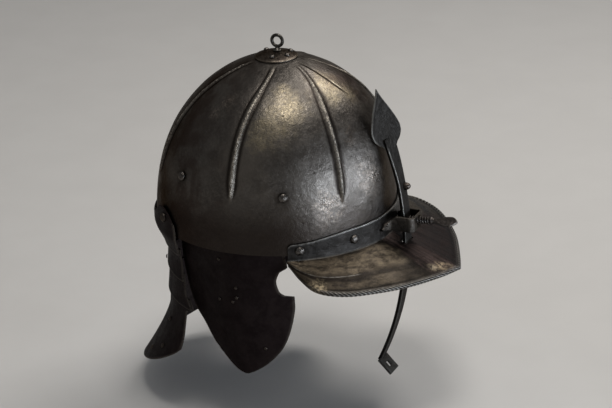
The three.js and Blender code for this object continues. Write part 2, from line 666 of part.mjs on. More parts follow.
// Rivets of the neck guard: which lame, how far round (share of its half angle), how far down it, and radius.
const LAME_RIVETS = [
  [0, 0.86, 0.19, 4.2], [1, 0.42, 0.92, 2],
  [3, 0.67, 0.45, 2.2], [3, 0.76, 0.81, 2.2], [3, 0.56, 0.86, 2.2],
];
for (const [name, side] of SIDES) {
  LAME_RIVETS.forEach(([index, share, down, radius], i) => {
    const lame = LAMES[index];
    const step = 0.04;
    const ahead = lamePoint(lame, side * (share + step), down);
    const around = ahead.sub(lamePoint(lame, side * (share - step), down));
    const rise = lamePoint(lame, side * share, down - step).sub(lamePoint(lame, side * share, down + step));
    const normal = new THREE.Vector3().crossVectors(around, rise).multiplyScalar(side).normalize();
    const seat = lamePoint(lame, side * share, down).addScaledVector(normal, LAME.thickness / 2 + 0.1);
    add(`lame_rivet_${name}_${i + 1}`, rivetGeometry(radius, radius * 0.65), steelBright, seat, normal);
  });
}

// One rivet through each foot of the staple.
for (const [name, side] of SIDES) {
  const { halfWidth, footReach, strap } = STAPLE;
  const wall = at(flangeFace(halfWidth) + strap, side * halfWidth, 8.3);
  const tip = at(flangeFace(footReach) + strap, side * footReach, 8.3);
  const run = tip.clone().sub(wall);
  add(`staple_rivet_${name}`, rivetGeometry(1.8, 1.2), steelBright,
    wall.addScaledVector(run, 0.36), new THREE.Vector3(-side * run.y, side * run.x, 0));
}

// The stud on the bar's face that keeps it from falling through the staple.
add('nasal_stop', rivetGeometry(STOP.radius, STOP.height), steelBright,
  barPoint(STOP.up, STOP.right, BAR.thickness / 2),
  barPoint(STOP.up, 0, 1).sub(barPoint(STOP.up, 0, 0)));

export default helmet;
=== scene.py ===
# Zischaegge, a lobster-tailed pot helmet: the shown pieces, their finishes, the studio and the camera.
# Shapes are worked out in millimetres and turned into metres as each mesh is made.
import math
from math import asin, cos, pi, radians, sin
from types import SimpleNamespace as Sizes

import bpy
from mathutils import Matrix, Vector, noise


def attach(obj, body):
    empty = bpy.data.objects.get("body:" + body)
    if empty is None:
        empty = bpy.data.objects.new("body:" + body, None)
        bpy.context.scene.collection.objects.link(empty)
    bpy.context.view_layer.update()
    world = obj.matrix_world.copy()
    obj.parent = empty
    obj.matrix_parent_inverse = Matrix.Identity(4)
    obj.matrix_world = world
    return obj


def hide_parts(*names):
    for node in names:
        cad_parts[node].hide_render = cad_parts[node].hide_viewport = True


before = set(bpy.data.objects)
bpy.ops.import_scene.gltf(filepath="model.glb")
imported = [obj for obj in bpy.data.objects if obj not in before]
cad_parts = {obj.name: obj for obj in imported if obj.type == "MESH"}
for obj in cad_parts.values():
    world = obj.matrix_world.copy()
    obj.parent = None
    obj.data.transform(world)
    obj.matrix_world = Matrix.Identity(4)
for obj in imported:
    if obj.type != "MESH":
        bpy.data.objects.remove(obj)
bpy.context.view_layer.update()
scene = bpy.context.scene

MM = 0.001
UP = Vector((0, 0, 1))

# ---- dimensions, in mm and degrees ----
GAP = 0.35
SKULL = Sizes(front=110, back=106, side=103, height=147, wall=1.8, apex_forward=6.3, rise=2.75, fullness=0.5,
             roundness=1.81)
RIB_LOW = {32: 46, 87: 49.5, 146: 46}            # where each rib ends, by its angle from the front
RIB_ANGLES, RIB_HIGH, RIB_SWING = tuple(RIB_LOW), 144, 20
APEX = Sizes(radius=18.9, thickness=1.4, crown=1.6)
EYE = Sizes(radius=5, wire=1.45, height=159.3)
PEAK = Sizes(thickness=1.8, drop=4, half_angle=59.5, bead=2.08, top_front=17, top_end=10.5, slot_wide=15.8,
            slot_long=5.8)
ROPE = Sizes(pitch=3.9, depth=0.09)               # the roping of the peak's turned edge
PEAK_EDGE = [(175, 0, -28.6), (167, 20.3, -28.2), (149.6, 57, -25.6), (128.5, 86.3, -22.8), (113, 101, -21.4),
             (96.5, 108.8, -19.6), (83, 108.6, -17.6), (68, 100.8, -14), (55.5, 93, -8)]
BAR = Sizes(forward=-150, up=-13.5, radius=276.8, width=14, foot_width=10, thickness=3.2, top=80, foot=-129,
           twist=12, twist_from=40)
LEAF = Sizes(length=50, width=32, thickness=2.2, lean=15, turn=28, bow=1.2)
FOOT = Sizes(length=17, width=17, thickness=2.6, hole=5, pitch=45)
STAPLE = Sizes(front=137.5, half=12.5, strap=2.4, low=2.6, high=16, reach=20.5, shoulder=121, fall=0.73)
SCREW = Sizes(up=9.8, shank=3.4, hole=3.9, pitch=2.4, shoulder=150, leaf_length=22, leaf_width=11.5, tilt=24)
CHEEK = Sizes(thickness=1.6, top=9, lean=0.08)
CHEEK_FRONT = [(-119.5, 12.5), (-116, 19.5), (-106, 32.5), (-92, 43.6), (-78, 49.3), (-63, 53), (-50, 54.8),
               (-41.8, 54.8), (-40.8, 48), (-36, 43.1), (-27, 41.4), (-17.5, 44.3), (-12.2, 50.8), (-4, 49.6),
               (10, 49)]
CHEEK_REAR = [(-119.5, 9.5), (-116.7, 3.3), (-105.5, -11), (-94.8, -24), (-81.5, -34.6), (-71, -44), (-50, -53),
              (-18, -58.5), (10, -58.5)]
LAME = Sizes(thickness=1.5, tuck=2.4)
GUARD_INSET = [(-150, 7.4), (-92, 7.4), (-60, 8.2), (-32, 8.2), (-20, 5.8), (-10, 1.6), (-5, -0.8), (-1, -1.7),
               (26, -1.7)]
GUARD_HALF = [(-150, 57), (-120, 58), (-104, 59.5), (-76, 56.5), (-71, 62.5), (-66, 61), (-58, 57), (-38, 55),
              (-24, 54), (-10, 57.5), (0, 59), (11, 58), (19, 56), (23, 51)]
LAMES = [Sizes(top=4, ears=18, bottom=-22, flare=0, dip=0),
         Sizes(top=-15, ears=0, bottom=-47, flare=0, dip=0),
         Sizes(top=-40, ears=0, bottom=-71, flare=0, dip=0),
         Sizes(top=-63, ears=0, bottom=-108, flare=28, dip=41)]



# ---- small helpers ----
def at(forward, right, up):
    """A point from its distance forward, to the wearer's right, and up."""
    return Vector((-right, -forward, up))


def lerp(a, b, t):
    return a + (b - a) * t


def smooth(t):
    t = min(max(t, 0), 1)
    return t * t * (3 - 2 * t)


def bell(distance, width):
    return math.exp(-(distance / width) ** 2)


def spaced(count, low=0.0, high=1.0):
    return [lerp(low, high, i / (count - 1)) for i in range(count)]


def lookup(pairs, key):
    """Value at key in a list of (key, value) with rising keys, eased through its joints."""
    if key <= pairs[0][0]:
        return pairs[0][1]
    if key >= pairs[-1][0]:
        return pairs[-1][1]
    i = next(n for n, pair in enumerate(pairs) if pair[0] > key)
    (k0, v0), (k1, v1) = pairs[i - 1], pairs[i]
    t = (key - k0) / (k1 - k0)
    slope = (v1 - v0) / (k1 - k0)
    before = (v0 - pairs[i - 2][1]) / (k0 - pairs[i - 2][0]) if i > 1 else slope
    after = (pairs[i + 1][1] - v1) / (pairs[i + 1][0] - k1) if i + 1 < len(pairs) else slope
    start = 0 if before * slope <= 0 else 2 * before * slope / (before + slope)
    end = 0 if after * slope <= 0 else 2 * after * slope / (after + slope)
    span = k1 - k0
    return ((1 + 2 * t) * (1 - t) ** 2 * v0 + t * (1 - t) ** 2 * span * start
            + t * t * (3 - 2 * t) * v1 - t * t * (1 - t) * span * end)


def smooth_path(points, count):
    """Evenly spaced points on a smooth curve through the given ones."""
    ends = [2 * points[0] - points[1], *points, 2 * points[-1] - points[-2]]
    dense = []
    for a, b, c, d in zip(ends, ends[1:], ends[2:], ends[3:]):
        knots = [0]
        for p, q in ((a, b), (b, c), (c, d)):
            knots.append(knots[-1] + (q - p).length ** 0.5)
        for step in range(24):
            t = lerp(knots[1], knots[2], step / 24)
            ab = a.lerp(b, (t - knots[0]) / (knots[1] - knots[0]))
            bc = b.lerp(c, (t - knots[1]) / (knots[2] - knots[1]))
            cd = c.lerp(d, (t - knots[2]) / (knots[3] - knots[2]))
            abc = ab.lerp(bc, (t - knots[0]) / (knots[2] - knots[0]))
            bcd = bc.lerp(cd, (t - knots[1]) / (knots[3] - knots[1]))
            dense.append(abc.lerp(bcd, (t - knots[1]) / (knots[2] - knots[1])))
    dense.append(points[-1])
    run = [0]
    for p, q in zip(dense, dense[1:]):
        run.append(run[-1] + (q - p).length)
    out = []
    i = 0
    for wanted in spaced(count, 0, run[-1]):
        while i < len(run) - 2 and run[i + 1] < wanted:
            i += 1
        out.append(dense[i].lerp(dense[i + 1], (wanted - run[i]) / (run[i + 1] - run[i])))
    return out


# ---- mesh makers ----
def linked(name, data):
    obj = bpy.data.objects.new(name, data)
    scene.collection.objects.link(obj)
    return obj


def shade(obj, sharp):
    obj.data.shade_smooth()
    obj.data.set_sharp_from_angle(angle=radians(sharp))
    return obj


def new_mesh(name, points, faces, marks=None, sharp=40):
    """A mesh object in metres with its faces outwards; marks holds a number for every point."""
    volume = 0
    for face in faces:
        for b, c in zip(face[1:], face[2:]):
            volume += points[face[0]].dot(points[b].cross(points[c]))
    if volume < 0:
        faces = [tuple(reversed(face)) for face in faces]
    mesh = bpy.data.meshes.new(name)
    mesh.from_pydata([point * MM for point in points], [], faces)
    plain = [0.0] * len(points)
    for mark, values in (marks or {"edge": plain, "hollow": plain}).items():
        mesh.attributes.new(mark, "FLOAT", "POINT").data.foreach_set("value", list(values))
    mesh.update()
    return shade(linked(name, mesh), sharp)


def split_marks(items):
    """Points, and their two marks, from (point, edge, hollow) items."""
    points, edges, hollows = zip(*items)
    return points, {"edge": edges, "hollow": hollows}


def bake(obj, sharp=40):
    """Turns an object's modifiers into plain mesh."""
    graph = bpy.context.evaluated_depsgraph_get()
    made = bpy.data.meshes.new_from_object(obj.evaluated_get(graph), depsgraph=graph)
    obj.modifiers.clear()
    obj.data = made
    return shade(obj, sharp)


def rounded(obj, width):
    bevel = obj.modifiers.new("edge", "BEVEL")
    bevel.width = width * MM
    bevel.segments = 2
    bevel.limit_method = "ANGLE"
    bevel.angle_limit = radians(50)
    return bake(obj)


def cut_out(obj, cutter, sharp=40, weld=0):
    """Takes the cutter's shape out of a piece, and closes seams narrower than weld mm."""
    cut = obj.modifiers.new("cut", "BOOLEAN")
    cut.object, cut.operation, cut.solver = cutter, "DIFFERENCE", "EXACT"
    if weld:
        obj.modifiers.new("seam", "WELD").merge_threshold = weld * MM
    bake(obj, sharp)
    bpy.data.objects.remove(cutter)
    return obj


def joined(name, *objs):
    """Several meshes made into one piece, with their marks."""
    points, faces, marks = [], [], {"edge": [], "hollow": []}
    for obj in objs:
        first = len(points)
        points += [vertex.co / MM for vertex in obj.data.vertices]
        faces += [tuple(first + v for v in face.vertices) for face in obj.data.polygons]
        for mark, values in marks.items():
            values += [item.value for item in obj.data.attributes[mark].data]
        bpy.data.objects.remove(obj)
    return new_mesh(name, points, faces, marks)


def shell_faces(rows, n):
    """Faces of an outer and an inner skin, each rows rings of n points, joined round the first ring."""
    base = rows * n
    faces = []
    for j in range(n):
        k = (j + 1) % n
        faces.append((j, base + j, base + k, k))
        for i in range(rows - 1):
            a, b, c, d = i * n + j, i * n + k, (i + 1) * n + k, (i + 1) * n + j
            faces += [(a, b, c, d), (base + a, base + d, base + c, base + b)]
    return faces


def plate(name, grid, thickness, edge):
    """A plate of even thickness on a grid of (point, edge, hollow), with its edges rounded."""
    rows, columns = len(grid), len(grid[0])
    _, marks = split_marks([item for row in grid for item in row])
    points = []
    for side in (1, -1):
        for i in range(rows):
            for j in range(columns):
                along = grid[min(i + 1, rows - 1)][j][0] - grid[max(i - 1, 0)][j][0]
                across = grid[i][min(j + 1, columns - 1)][0] - grid[i][max(j - 1, 0)][0]
                points.append(grid[i][j][0] + along.cross(across).normalized() * side * thickness / 2)
    half = rows * columns
    faces = []
    for i in range(rows - 1):
        for j in range(columns - 1):
            a, b = i * columns + j, (i + 1) * columns + j
            faces.append((a, b, b + 1, a + 1))
            faces.append((half + a, half + a + 1, half + b + 1, half + b))
        a, b = i * columns, (i + 1) * columns
        faces.append((a, half + a, half + b, b))
        a, b = a + columns - 1, b + columns - 1
        faces.append((a, b, half + b, half + a))
    for j in range(columns - 1):
        faces.append((j, j + 1, half + j + 1, half + j))
        a = half - columns + j
        faces.append((a, half + a, half + a + 1, a + 1))
    marks = {mark: values * 2 for mark, values in marks.items()}
    return rounded(new_mesh(name, points, faces, marks), edge)


def loft(name, sections, sharp=40, **marks):
    """A solid through equal closed sections of (point, edge, hollow), with flat ends."""
    n = len(sections[0])
    points, found = split_marks([item for section in sections for item in section])
    faces = []
    for i in range(len(sections) - 1):
        for j in range(n):
            a, b = i * n + j, i * n + (j + 1) % n
            faces.append((a, b, b + n, a + n))
    faces.append(tuple(reversed(range(n))))
    faces.append(tuple(range(len(points) - n, len(points))))
    return new_mesh(name, points, faces, found | marks, sharp)


def turned(name, profile, base, axis, sides=48, reach_of=None, marks_of=None):
    """A turned solid from (radius, height) pairs; reach_of can shape its radius by height and angle."""
    turn = UP.rotation_difference(axis)
    sections = []
    for radius, height in profile:
        ring = []
        for j in range(sides):
            angle = 2 * pi * j / sides
            reach = reach_of(radius, height, angle) if reach_of else radius
            point = base + turn @ Vector((reach * cos(angle), reach * sin(angle), height))
            ring.append((point, *(marks_of(reach) if marks_of else (0, 0))))
        sections.append(ring)
    return loft(name, sections)


def place(piece, body, slot, finish, *nodes):
    """Puts a finished piece on its body, in place of its CAD nodes; slot is not used."""
    piece.data.materials.clear()
    piece.data.materials.append(finish)
    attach(piece, body)
    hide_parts(*nodes)


# ---- finishes ----
def add_node(tree, kind, inputs=(), **settings):
    """Adds a node and gives back its outputs; an input is a socket to link or a value to set."""
    made = tree.nodes.new(kind)
    for key, value in settings.items():
        setattr(made, key, value)
    for key, value in dict(inputs).items():
        if isinstance(value, bpy.types.NodeSocket):
            tree.links.new(value, made.inputs[key])
        else:
            made.inputs[key].default_value = value
    return made.outputs


class Value:
    """A value that changes over a surface. Reckoning with it adds nodes to its finish."""

    def __init__(self, finish, socket):
        self.finish, self.socket = finish, socket

    def __add__(self, other):
        return self.finish.math("ADD", self, other)

    def __sub__(self, other):
        return self.finish.math("SUBTRACT", self, other)

    def __mul__(self, other):
        return self.finish.math("MULTIPLY", self, other)

    def __abs__(self):
        return self.finish.math("ABSOLUTE", self)


class Finish:
    """A metal finish, painted on in layers. Most methods give back a Value."""

    def __init__(self, name):
        self.material = bpy.data.materials.new(name)
        self.material.use_nodes = True
        self.tree = self.material.node_tree
        self.shader = self.tree.nodes["Principled BSDF"]
        self.place = self.node("ShaderNodeTexCoord", "Object")

    def node(self, kind, output, inputs=(), **settings):
        plain = {key: getattr(value, "socket", value) for key, value in dict(inputs).items()}
        return Value(self, add_node(self.tree, kind, plain, **settings)[output])

    def math(self, operation, a, b=0.0):
        return self.node("ShaderNodeMath", 0, {0: a, 1: b}, operation=operation)

    def most(self, a, b):
        return self.math("MAXIMUM", a, b)

    def span(self, value, low, high, start=0.0, end=1.0):
        """value eased from low..high to start..end, held at both ends."""
        inputs = {"Value": value, "From Min": low, "From Max": high, "To Min": start, "To Max": end}
        return self.node("ShaderNodeMapRange", "Result", inputs, interpolation_type="SMOOTHSTEP")

    def grain(self, size, low=0.35, high=0.65, detail=3.0, warp=0.0, where=None, rough=0.55):
        """Cloudy pattern with patches about size mm across."""
        inputs = {"Vector": where or self.place, "Scale": 1 / (size * MM), "Detail": detail, "Distortion": warp,
                  "Roughness": rough}
        return self.span(self.node("ShaderNodeTexNoise", "Fac", inputs), low, high)

    def pits(self, size, reach):
        """Small round pits, size mm apart, each about reach of that across."""
        inputs = {"Vector": self.place, "Scale": 1 / (size * MM)}
        return self.span(self.node("ShaderNodeTexVoronoi", "Distance", inputs), 0.0, reach, 1.0, 0.0)

    def spot(self, centre, radius, ragged):
        """1 at a place on the piece, given in mm, fading to 0 at radius mm, with a ragged edge."""
        inputs = {0: self.place, 1: tuple(centre * MM)}
        apart = self.node("ShaderNodeVectorMath", "Value", inputs, operation="DISTANCE")
        far = apart + self.grain(radius * 0.5, 0.3, 0.7) * (radius * ragged * MM)
        return self.span(far, radius * 0.25 * MM, radius * (1 + ragged) * MM, 1.0, 0.0)

    def spots(self, places, ragged):
        """The strongest of several (centre, radius) spots."""
        share = 0.0
        for centre, radius in places:
            share = self.most(share, self.spot(centre, radius, ragged))
        return share

    def mark(self, name):
        return self.node("ShaderNodeAttribute", "Fac", attribute_name=name)

    def axis(self, name):
        """One coordinate of the piece, in metres."""
        return self.node("ShaderNodeSeparateXYZ", name, {"Vector": self.place})

    def sheet(self, along, across):
        """Place on a bent sheet, from its run and fall marks in mm, squeezed by the two factors."""
        inputs = {"X": self.mark("run") * (along * MM), "Y": self.mark("fall") * (across * MM)}
        return self.node("ShaderNodeCombineXYZ", 0, inputs)

    def blend(self, share, *tones):
        inputs = {6 + i: tone if isinstance(tone, Value) else (*tone, 1) for i, tone in enumerate(tones)}
        return self.node("ShaderNodeMix", 2, {0: share, **inputs}, data_type="RGBA")

    def paint(self, tone, share):
        """Another layer of colour, shown by share."""
        self.colour = self.blend(share, self.colour, tone)

    def relief(self, height, depth, under=None):
        inputs = {"Height": height, "Strength": 1.0, "Distance": depth * MM}
        if under:
            inputs["Normal"] = under
        return self.node("ShaderNodeBump", "Normal", inputs)

    def done(self, rough, normal, metal=1.0, shine=0.5):
        links, inputs = self.tree.links, self.shader.inputs
        links.new(self.colour.socket, inputs["Base Color"])
        links.new(rough.socket, inputs["Roughness"])
        links.new(normal.socket, inputs["Normal"])
        inputs["Metallic"].default_value = metal
        inputs["Specular IOR Level"].default_value = shine
        return self.material


DULL_GLINT = (0.4, 0.38, 0.36, 1)       # how steel gleams where it is seen nearly from the side


def skull_finish():
    f = Finish("patinated_skull_steel")
    f.colour = f.blend(f.grain(40, 0.34, 0.66, 3, 0.5), (0.080, 0.071, 0.064), (0.115, 0.104, 0.094))
    f.paint((0.165, 0.150, 0.134), f.grain(2.6, 0.38, 0.74, 6, 0.2, rough=0.7) * 0.5)
    # Darker brown patches towards the back.
    brown_to_back = f.span(f.axis("Y"), -0.03, 0.05) * f.grain(30, 0.35, 0.6, 4, 0.8)
    f.paint((0.050, 0.036, 0.031), brown_to_back * 0.7)
    # Painted shade: darker towards the bottom, less so at the very front.
    low = f.span(f.axis("Z"), 0.056, 0.016) * f.span(f.axis("Y"), -0.085, -0.045, 0.45, 0.85)
    f.paint((0.0255, 0.0192, 0.0168), low)
    f.paint((0.20, 0.175, 0.148), f.spot(on_skull(82, 80), 32, 0.6) * 0.55)
    # Gold patches: partly gold patina, partly a painted highlight on the upper skull.
    gold_and_highlight = f.spots(GOLD_AND_HIGHLIGHT_SPOTS, 0.5) * f.grain(1.8, 0.28, 0.62, 5, 0.3, rough=0.75)
    f.paint((0.34, 0.285, 0.19), gold_and_highlight * 0.7)
    # Lighter scuffs; the two low front ones are a painted highlight.
    scuff_and_highlight = f.spots(SCUFF_AND_HIGHLIGHT_SPOTS, 0.6) * f.grain(1.8, 0.42, 0.62, 5, 0.5, rough=0.75)
    f.paint((0.30, 0.25, 0.21), scuff_and_highlight * 0.7)
    f.paint((0.088, 0.064, 0.058), f.spot(on_skull(-9, 128), 26, 0.5) * 0.6)
    # Painted shade: a dark ring round each skull rivet.
    f.paint((0.022, 0.018, 0.015), f.spots(RIVET_SHADE_SPOTS, 0.5) * 0.75)
    # Lighter rib crests: partly worn bare, partly a painted highlight.
    f.paint((0.46, 0.42, 0.36), f.mark("crest") * f.grain(2.2, 0.38, 0.60, 5, rough=0.75) * 0.85)
    # Painted shade in the grooves beside the ribs.
    f.paint((0.018, 0.014, 0.012), f.mark("hollow") * 0.9)
    offset, creased = f.mark("crease"), f.mark("creased")
    # Along the crease: a painted shadow line, and a painted highlight beside it near its middle.
    line = f.span(abs(offset), 0.7, 1.5, 1.0, 0.0) * creased
    crease_highlight = f.span(abs(offset - 2.1), 0.2, 1.0, 1.0, 0.0) * f.spot(CREASE[42], 10, 0.3)
    f.paint((0.50, 0.45, 0.36), crease_highlight * creased * f.grain(4, 0.3, 0.6) * 0.8)
    f.paint((0.012, 0.010, 0.008), line * 0.95)
    dark = f.most(f.pits(7.5, 0.085), f.pits(2.6, 0.16) * f.grain(16, 0.5, 0.7))
    dark = f.most(dark, f.spots(PIT_SPOTS, 0.2))
    f.paint((0.020, 0.016, 0.013), dark * 0.85)
    rough = f.span(f.grain(12, 0.3, 0.7, 5, 0.4) + f.grain(1.5, 0.3, 0.7, 4), 0.3, 1.7, 0.31, 0.47)
    polish = f.spots([(on_skull(14, 58), 15), (on_skull(40, 42), 13)], 0.6) * f.grain(5, 0.3, 0.7, 4)
    step = f.span(offset, -0.5, 0.7) * creased
    fine = f.grain(0.9, 0.3, 0.7, 3) * 0.55 + dark * -1.5
    normal = f.relief(f.grain(13, 0.2, 0.8, 2), 0.27)
    normal = f.relief(f.grain(3.4, 0.25, 0.75, 3, rough=0.6), 0.09, normal)
    normal = f.relief(f.grain(1.5, 0.3, 0.7, 3, rough=0.7) * f.mark("crest"), 0.30, normal)
    normal = f.relief(fine + (step * 1.2 + line * -4.0), 0.09, normal)
    f.shader.inputs["Specular Tint"].default_value = DULL_GLINT
    return f.done(rough - polish * 0.13, normal)


def plain_steel(name, dark, light, bare, size=12, low_rough=0.32, high_rough=0.5, metal=1.0, streak=None,
                shine=0.5, flecks=0.4):
    """Steel with two tones, worn bare along the points marked edge, which on the nasal bar's near arris is a
    painted highlight, and with painted shade at the ones marked hollow.
    """
    f = Finish(name)
    where = f.node("ShaderNodeMapping", 0, {"Vector": f.place, "Scale": streak}) if streak else None
    f.colour = f.blend(f.grain(size, 0.36, 0.64, 5, 0.4, where), dark, light)
    f.paint(bare, f.grain(size * 0.22, 0.45, 0.75, 4, 0, where) * flecks)
    f.paint(bare, f.mark("edge") * f.grain(2.5, 0.2, 0.5, 4) * 0.8)
    # Painted shade at the points marked hollow: grooves, corners and faces turned from the light.
    f.paint(tuple(0.25 * tone for tone in dark), f.mark("hollow") * 0.85)
    rough = f.grain(size * 0.8, 0.3, 0.7, 4) + f.grain(1.4, 0.3, 0.7, 4)
    normal = f.relief(f.grain(size * 0.5, 0.2, 0.8, 3, 0, where), 0.16)
    fine = f.grain(0.8, 0.3, 0.7, 3, 0, where) * 0.5 + f.pits(4.5, 0.12) * -1.2
    f.shader.inputs["Specular Tint"].default_value = DULL_GLINT
    return f.done(f.span(rough, 0.3, 1.7, low_rough, high_rough), f.relief(fine, 0.06, normal), metal, shine)


def peak_finish():
    """The peak: a dark flange, straw-coloured bands along the fall, and a brown far half with lines across."""
    f = Finish("straw_peak_steel")
    fine = f.sheet(0.45, 55)
    f.colour = f.blend(f.grain(13, 0.36, 0.64, 5, 0.3, f.sheet(0.3, 60)), (0.014, 0.0115, 0.0095),
                       (0.030, 0.0245, 0.0190))
    wander = f.grain(22, 0.2, 0.8, 4, 0.4, f.sheet(0.6, 50)) - 0.5
    fall = f.mark("fall") + wander * 0.13
    run = abs(f.mark("run")) + wander * 22
    straw = f.span(fall, 0.03, 0.12) * f.span(fall, 0.60, 0.44, 0.0, 1.0) * f.span(run, 24, 36)
    low = f.span(fall, 0.67, 0.74) * f.span(fall, 0.96, 0.84, 0.0, 0.5) * f.span(run, 52, 84)
    straw = f.most(straw, low) * f.grain(6.5, 0.32, 0.64, 6, 0.2, fine, rough=0.72)
    f.paint((0.098, 0.079, 0.057), straw * 0.85)
    soot = f.span(abs(fall - 0.63), 0.03, 0.075, 1.0, 0.0) * f.grain(9, 0.3, 0.55, 4, 0, fine)
    f.paint((0.009, 0.0075, 0.0065), soot * 0.75)
    far_half = f.span(f.mark("run") + wander * 12, 34, 24, 0.0, 1.0) * f.span(f.mark("run"), -110, -80)
    across = f.grain(2.4, 0.36, 0.66, 3, 0, f.sheet(1.0, 2.0))
    f.paint(f.blend(across, (0.0080, 0.0050, 0.0046), (0.030, 0.0205, 0.0190)), far_half * 0.95)
    scratch = f.span(abs(f.mark("fall") - 0.575), 0.004, 0.018, 1.0, 0.0) * f.span(f.mark("run"), 96, 106)
    f.paint((0.16, 0.155, 0.145), scratch * f.grain(5, 0.2, 0.7) * 0.55)
    for centre, radius, tone, strength in PEAK_SPOTS:
        share = f.spot(centre, radius, 0.5) * f.grain(3.0, 0.40, 0.58, 5, 0.3, rough=0.7)
        f.paint(tone, share * strength)
    flange = f.blend(f.grain(9, 0.35, 0.65, 5), (0.0230, 0.0212, 0.0200), (0.0390, 0.0362, 0.0344))
    f.paint(flange, f.mark("dull"))
    f.paint((0.25, 0.24, 0.225), f.mark("edge") * f.grain(2.5, 0.2, 0.5, 4) * 0.9)
    # Painted shade at the points marked hollow: the corner where the flange meets the fall, the groove inside
    # the turned edge and the rope's grooves.
    f.paint((0.004, 0.0035, 0.003), f.mark("hollow") * 0.94)
    rough = f.span(f.grain(11, 0.3, 0.7, 4) + f.grain(1.4, 0.3, 0.7, 4), 0.3, 1.7, 0.36, 0.54)
    small = f.grain(0.9, 0.3, 0.7, 3) + f.pits(4.5, 0.12) * -1.2 + straw * 0.8
    return f.done(rough, f.relief(small, 0.06, f.relief(f.grain(9, 0.2, 0.8, 3), 0.25)))


# ---- skull ----
def rim_radius(phi, inset=0.0):
    long = (SKULL.front if cos(phi) >= 0 else SKULL.back) - inset
    return 1 / math.hypot(cos(phi) / long, sin(phi) / (SKULL.side - inset))


def dome_rise(phi):
    return SKULL.rise + SKULL.fullness * cos(phi)


def dome_share(phi, up, inset=0.0):
    level = min(max(up / (SKULL.height - inset), 0), 1)
    return (1 - level ** dome_rise(phi)) ** (1 / SKULL.roundness)


def dome_height(phi, share):
    return SKULL.height * (1 - share ** SKULL.roundness) ** (1 / dome_rise(phi))


def swung(seam, up):
    return seam - radians(RIB_SWING) * sin(seam) * (up / SKULL.height) ** 8


def skull_point(seam, up, inset=0.0, lift=0.0):
    phi = swung(seam, up)
    share = dome_share(phi, up, inset)
    reach = rim_radius(phi, inset) * share + lift
    shift = SKULL.apex_forward * (1 - share)
    return at(shift + reach * cos(phi), reach * sin(phi), up)


def on_skull(degrees, up):
    return skull_point(radians(degrees), up)


# Centres and radii of the gold patches, which also carry a painted highlight.
GOLD_AND_HIGHLIGHT_SPOTS = [(on_skull(61, 120), 21), (on_skull(68, 107), 20), (on_skull(74, 98), 14), (on_skull(66, 131), 9),
              (on_skull(14, 129), 21), (on_skull(2, 122), 13)]
# Scuffs; the last two, low at the front, are a painted highlight.
SCUFF_AND_HIGHLIGHT_SPOTS = [(on_skull(109, 120), 8), (on_skull(113, 112), 7), (on_skull(20, 98), 6), (on_skull(22, 91), 6),
               (on_skull(-18, 113), 12), (on_skull(14, 56), 18), (on_skull(40, 40), 17)]
# Where the painted shade rings round the skull rivets lie.
RIVET_SHADE_SPOTS = [(on_skull(angle, up), 8.5) for angle, up in ((61, 52.5), (119, 57.5), (-61, 52.5), (-119, 57.5))]
PIT_SPOTS = [(on_skull(*place), 1.3) for place in ((61.7, 115.3), (45.3, 71.5), (52, 29))]
CREASE_ROUTE = (18.5, 143.8), (11.3, 134.8), (5.9, 123.5), (1.7, 118.8)
CREASE = smooth_path([on_skull(*place) for place in CREASE_ROUTE], 60)
FAR_FROM_CREASE = (8.0, 0.0)


def crease_marks(point):
    """Distance below the crease and how far it still shows, for a point of the skull."""
    k = min(range(len(CREASE)), key=lambda i: (CREASE[i] - point).length_squared)
    run = (CREASE[min(k + 1, len(CREASE) - 1)] - CREASE[max(k - 1, 0)]).normalized()
    outward = Vector((CREASE[k].x, CREASE[k].y, CREASE[k].z * 0.7)).normalized()
    across = (point - CREASE[k]).dot(outward.cross(run))
    beyond = abs((point - CREASE[k]).dot(run))
    shown = (1 - smooth((abs(across) - 4) / 2)) * (1 - smooth((beyond - 0.8) / 1.5))
    return across, shown * smooth(min(k + 6, len(CREASE) - k) / 14)


def rib_marks(seam, up):
    """Relief, crest and hollow of the nearest rib at a seam angle and height."""
    degrees = abs(math.degrees(math.atan2(sin(seam), cos(seam))))
    nearest = min(RIB_ANGLES, key=lambda angle: abs(degrees - angle))
    off = radians(abs(degrees - nearest)) * rim_radius(seam) * dome_share(seam, up)
    low = RIB_LOW[nearest]
    ends = smooth((up - low + 2.5) / 7) * smooth((RIB_HIGH - up) / 2.5)
    width = 2.15 * lerp(0.5, 1, smooth((up - low + 3) / 16)) * lerp(1, 0.6, smooth((up - 122) / 18))
    crest = bell(off, width) * ends * (lerp(1, 0.25, smooth((up - 133) / 4)) if nearest == 32 else 1)
    hollow = bell(off - width * 1.9, width * 0.8) * ends
    return 2.0 * crest * lerp(1, 0.6, smooth((up - 70) / 75)) - 0.6 * hollow, crest, hollow


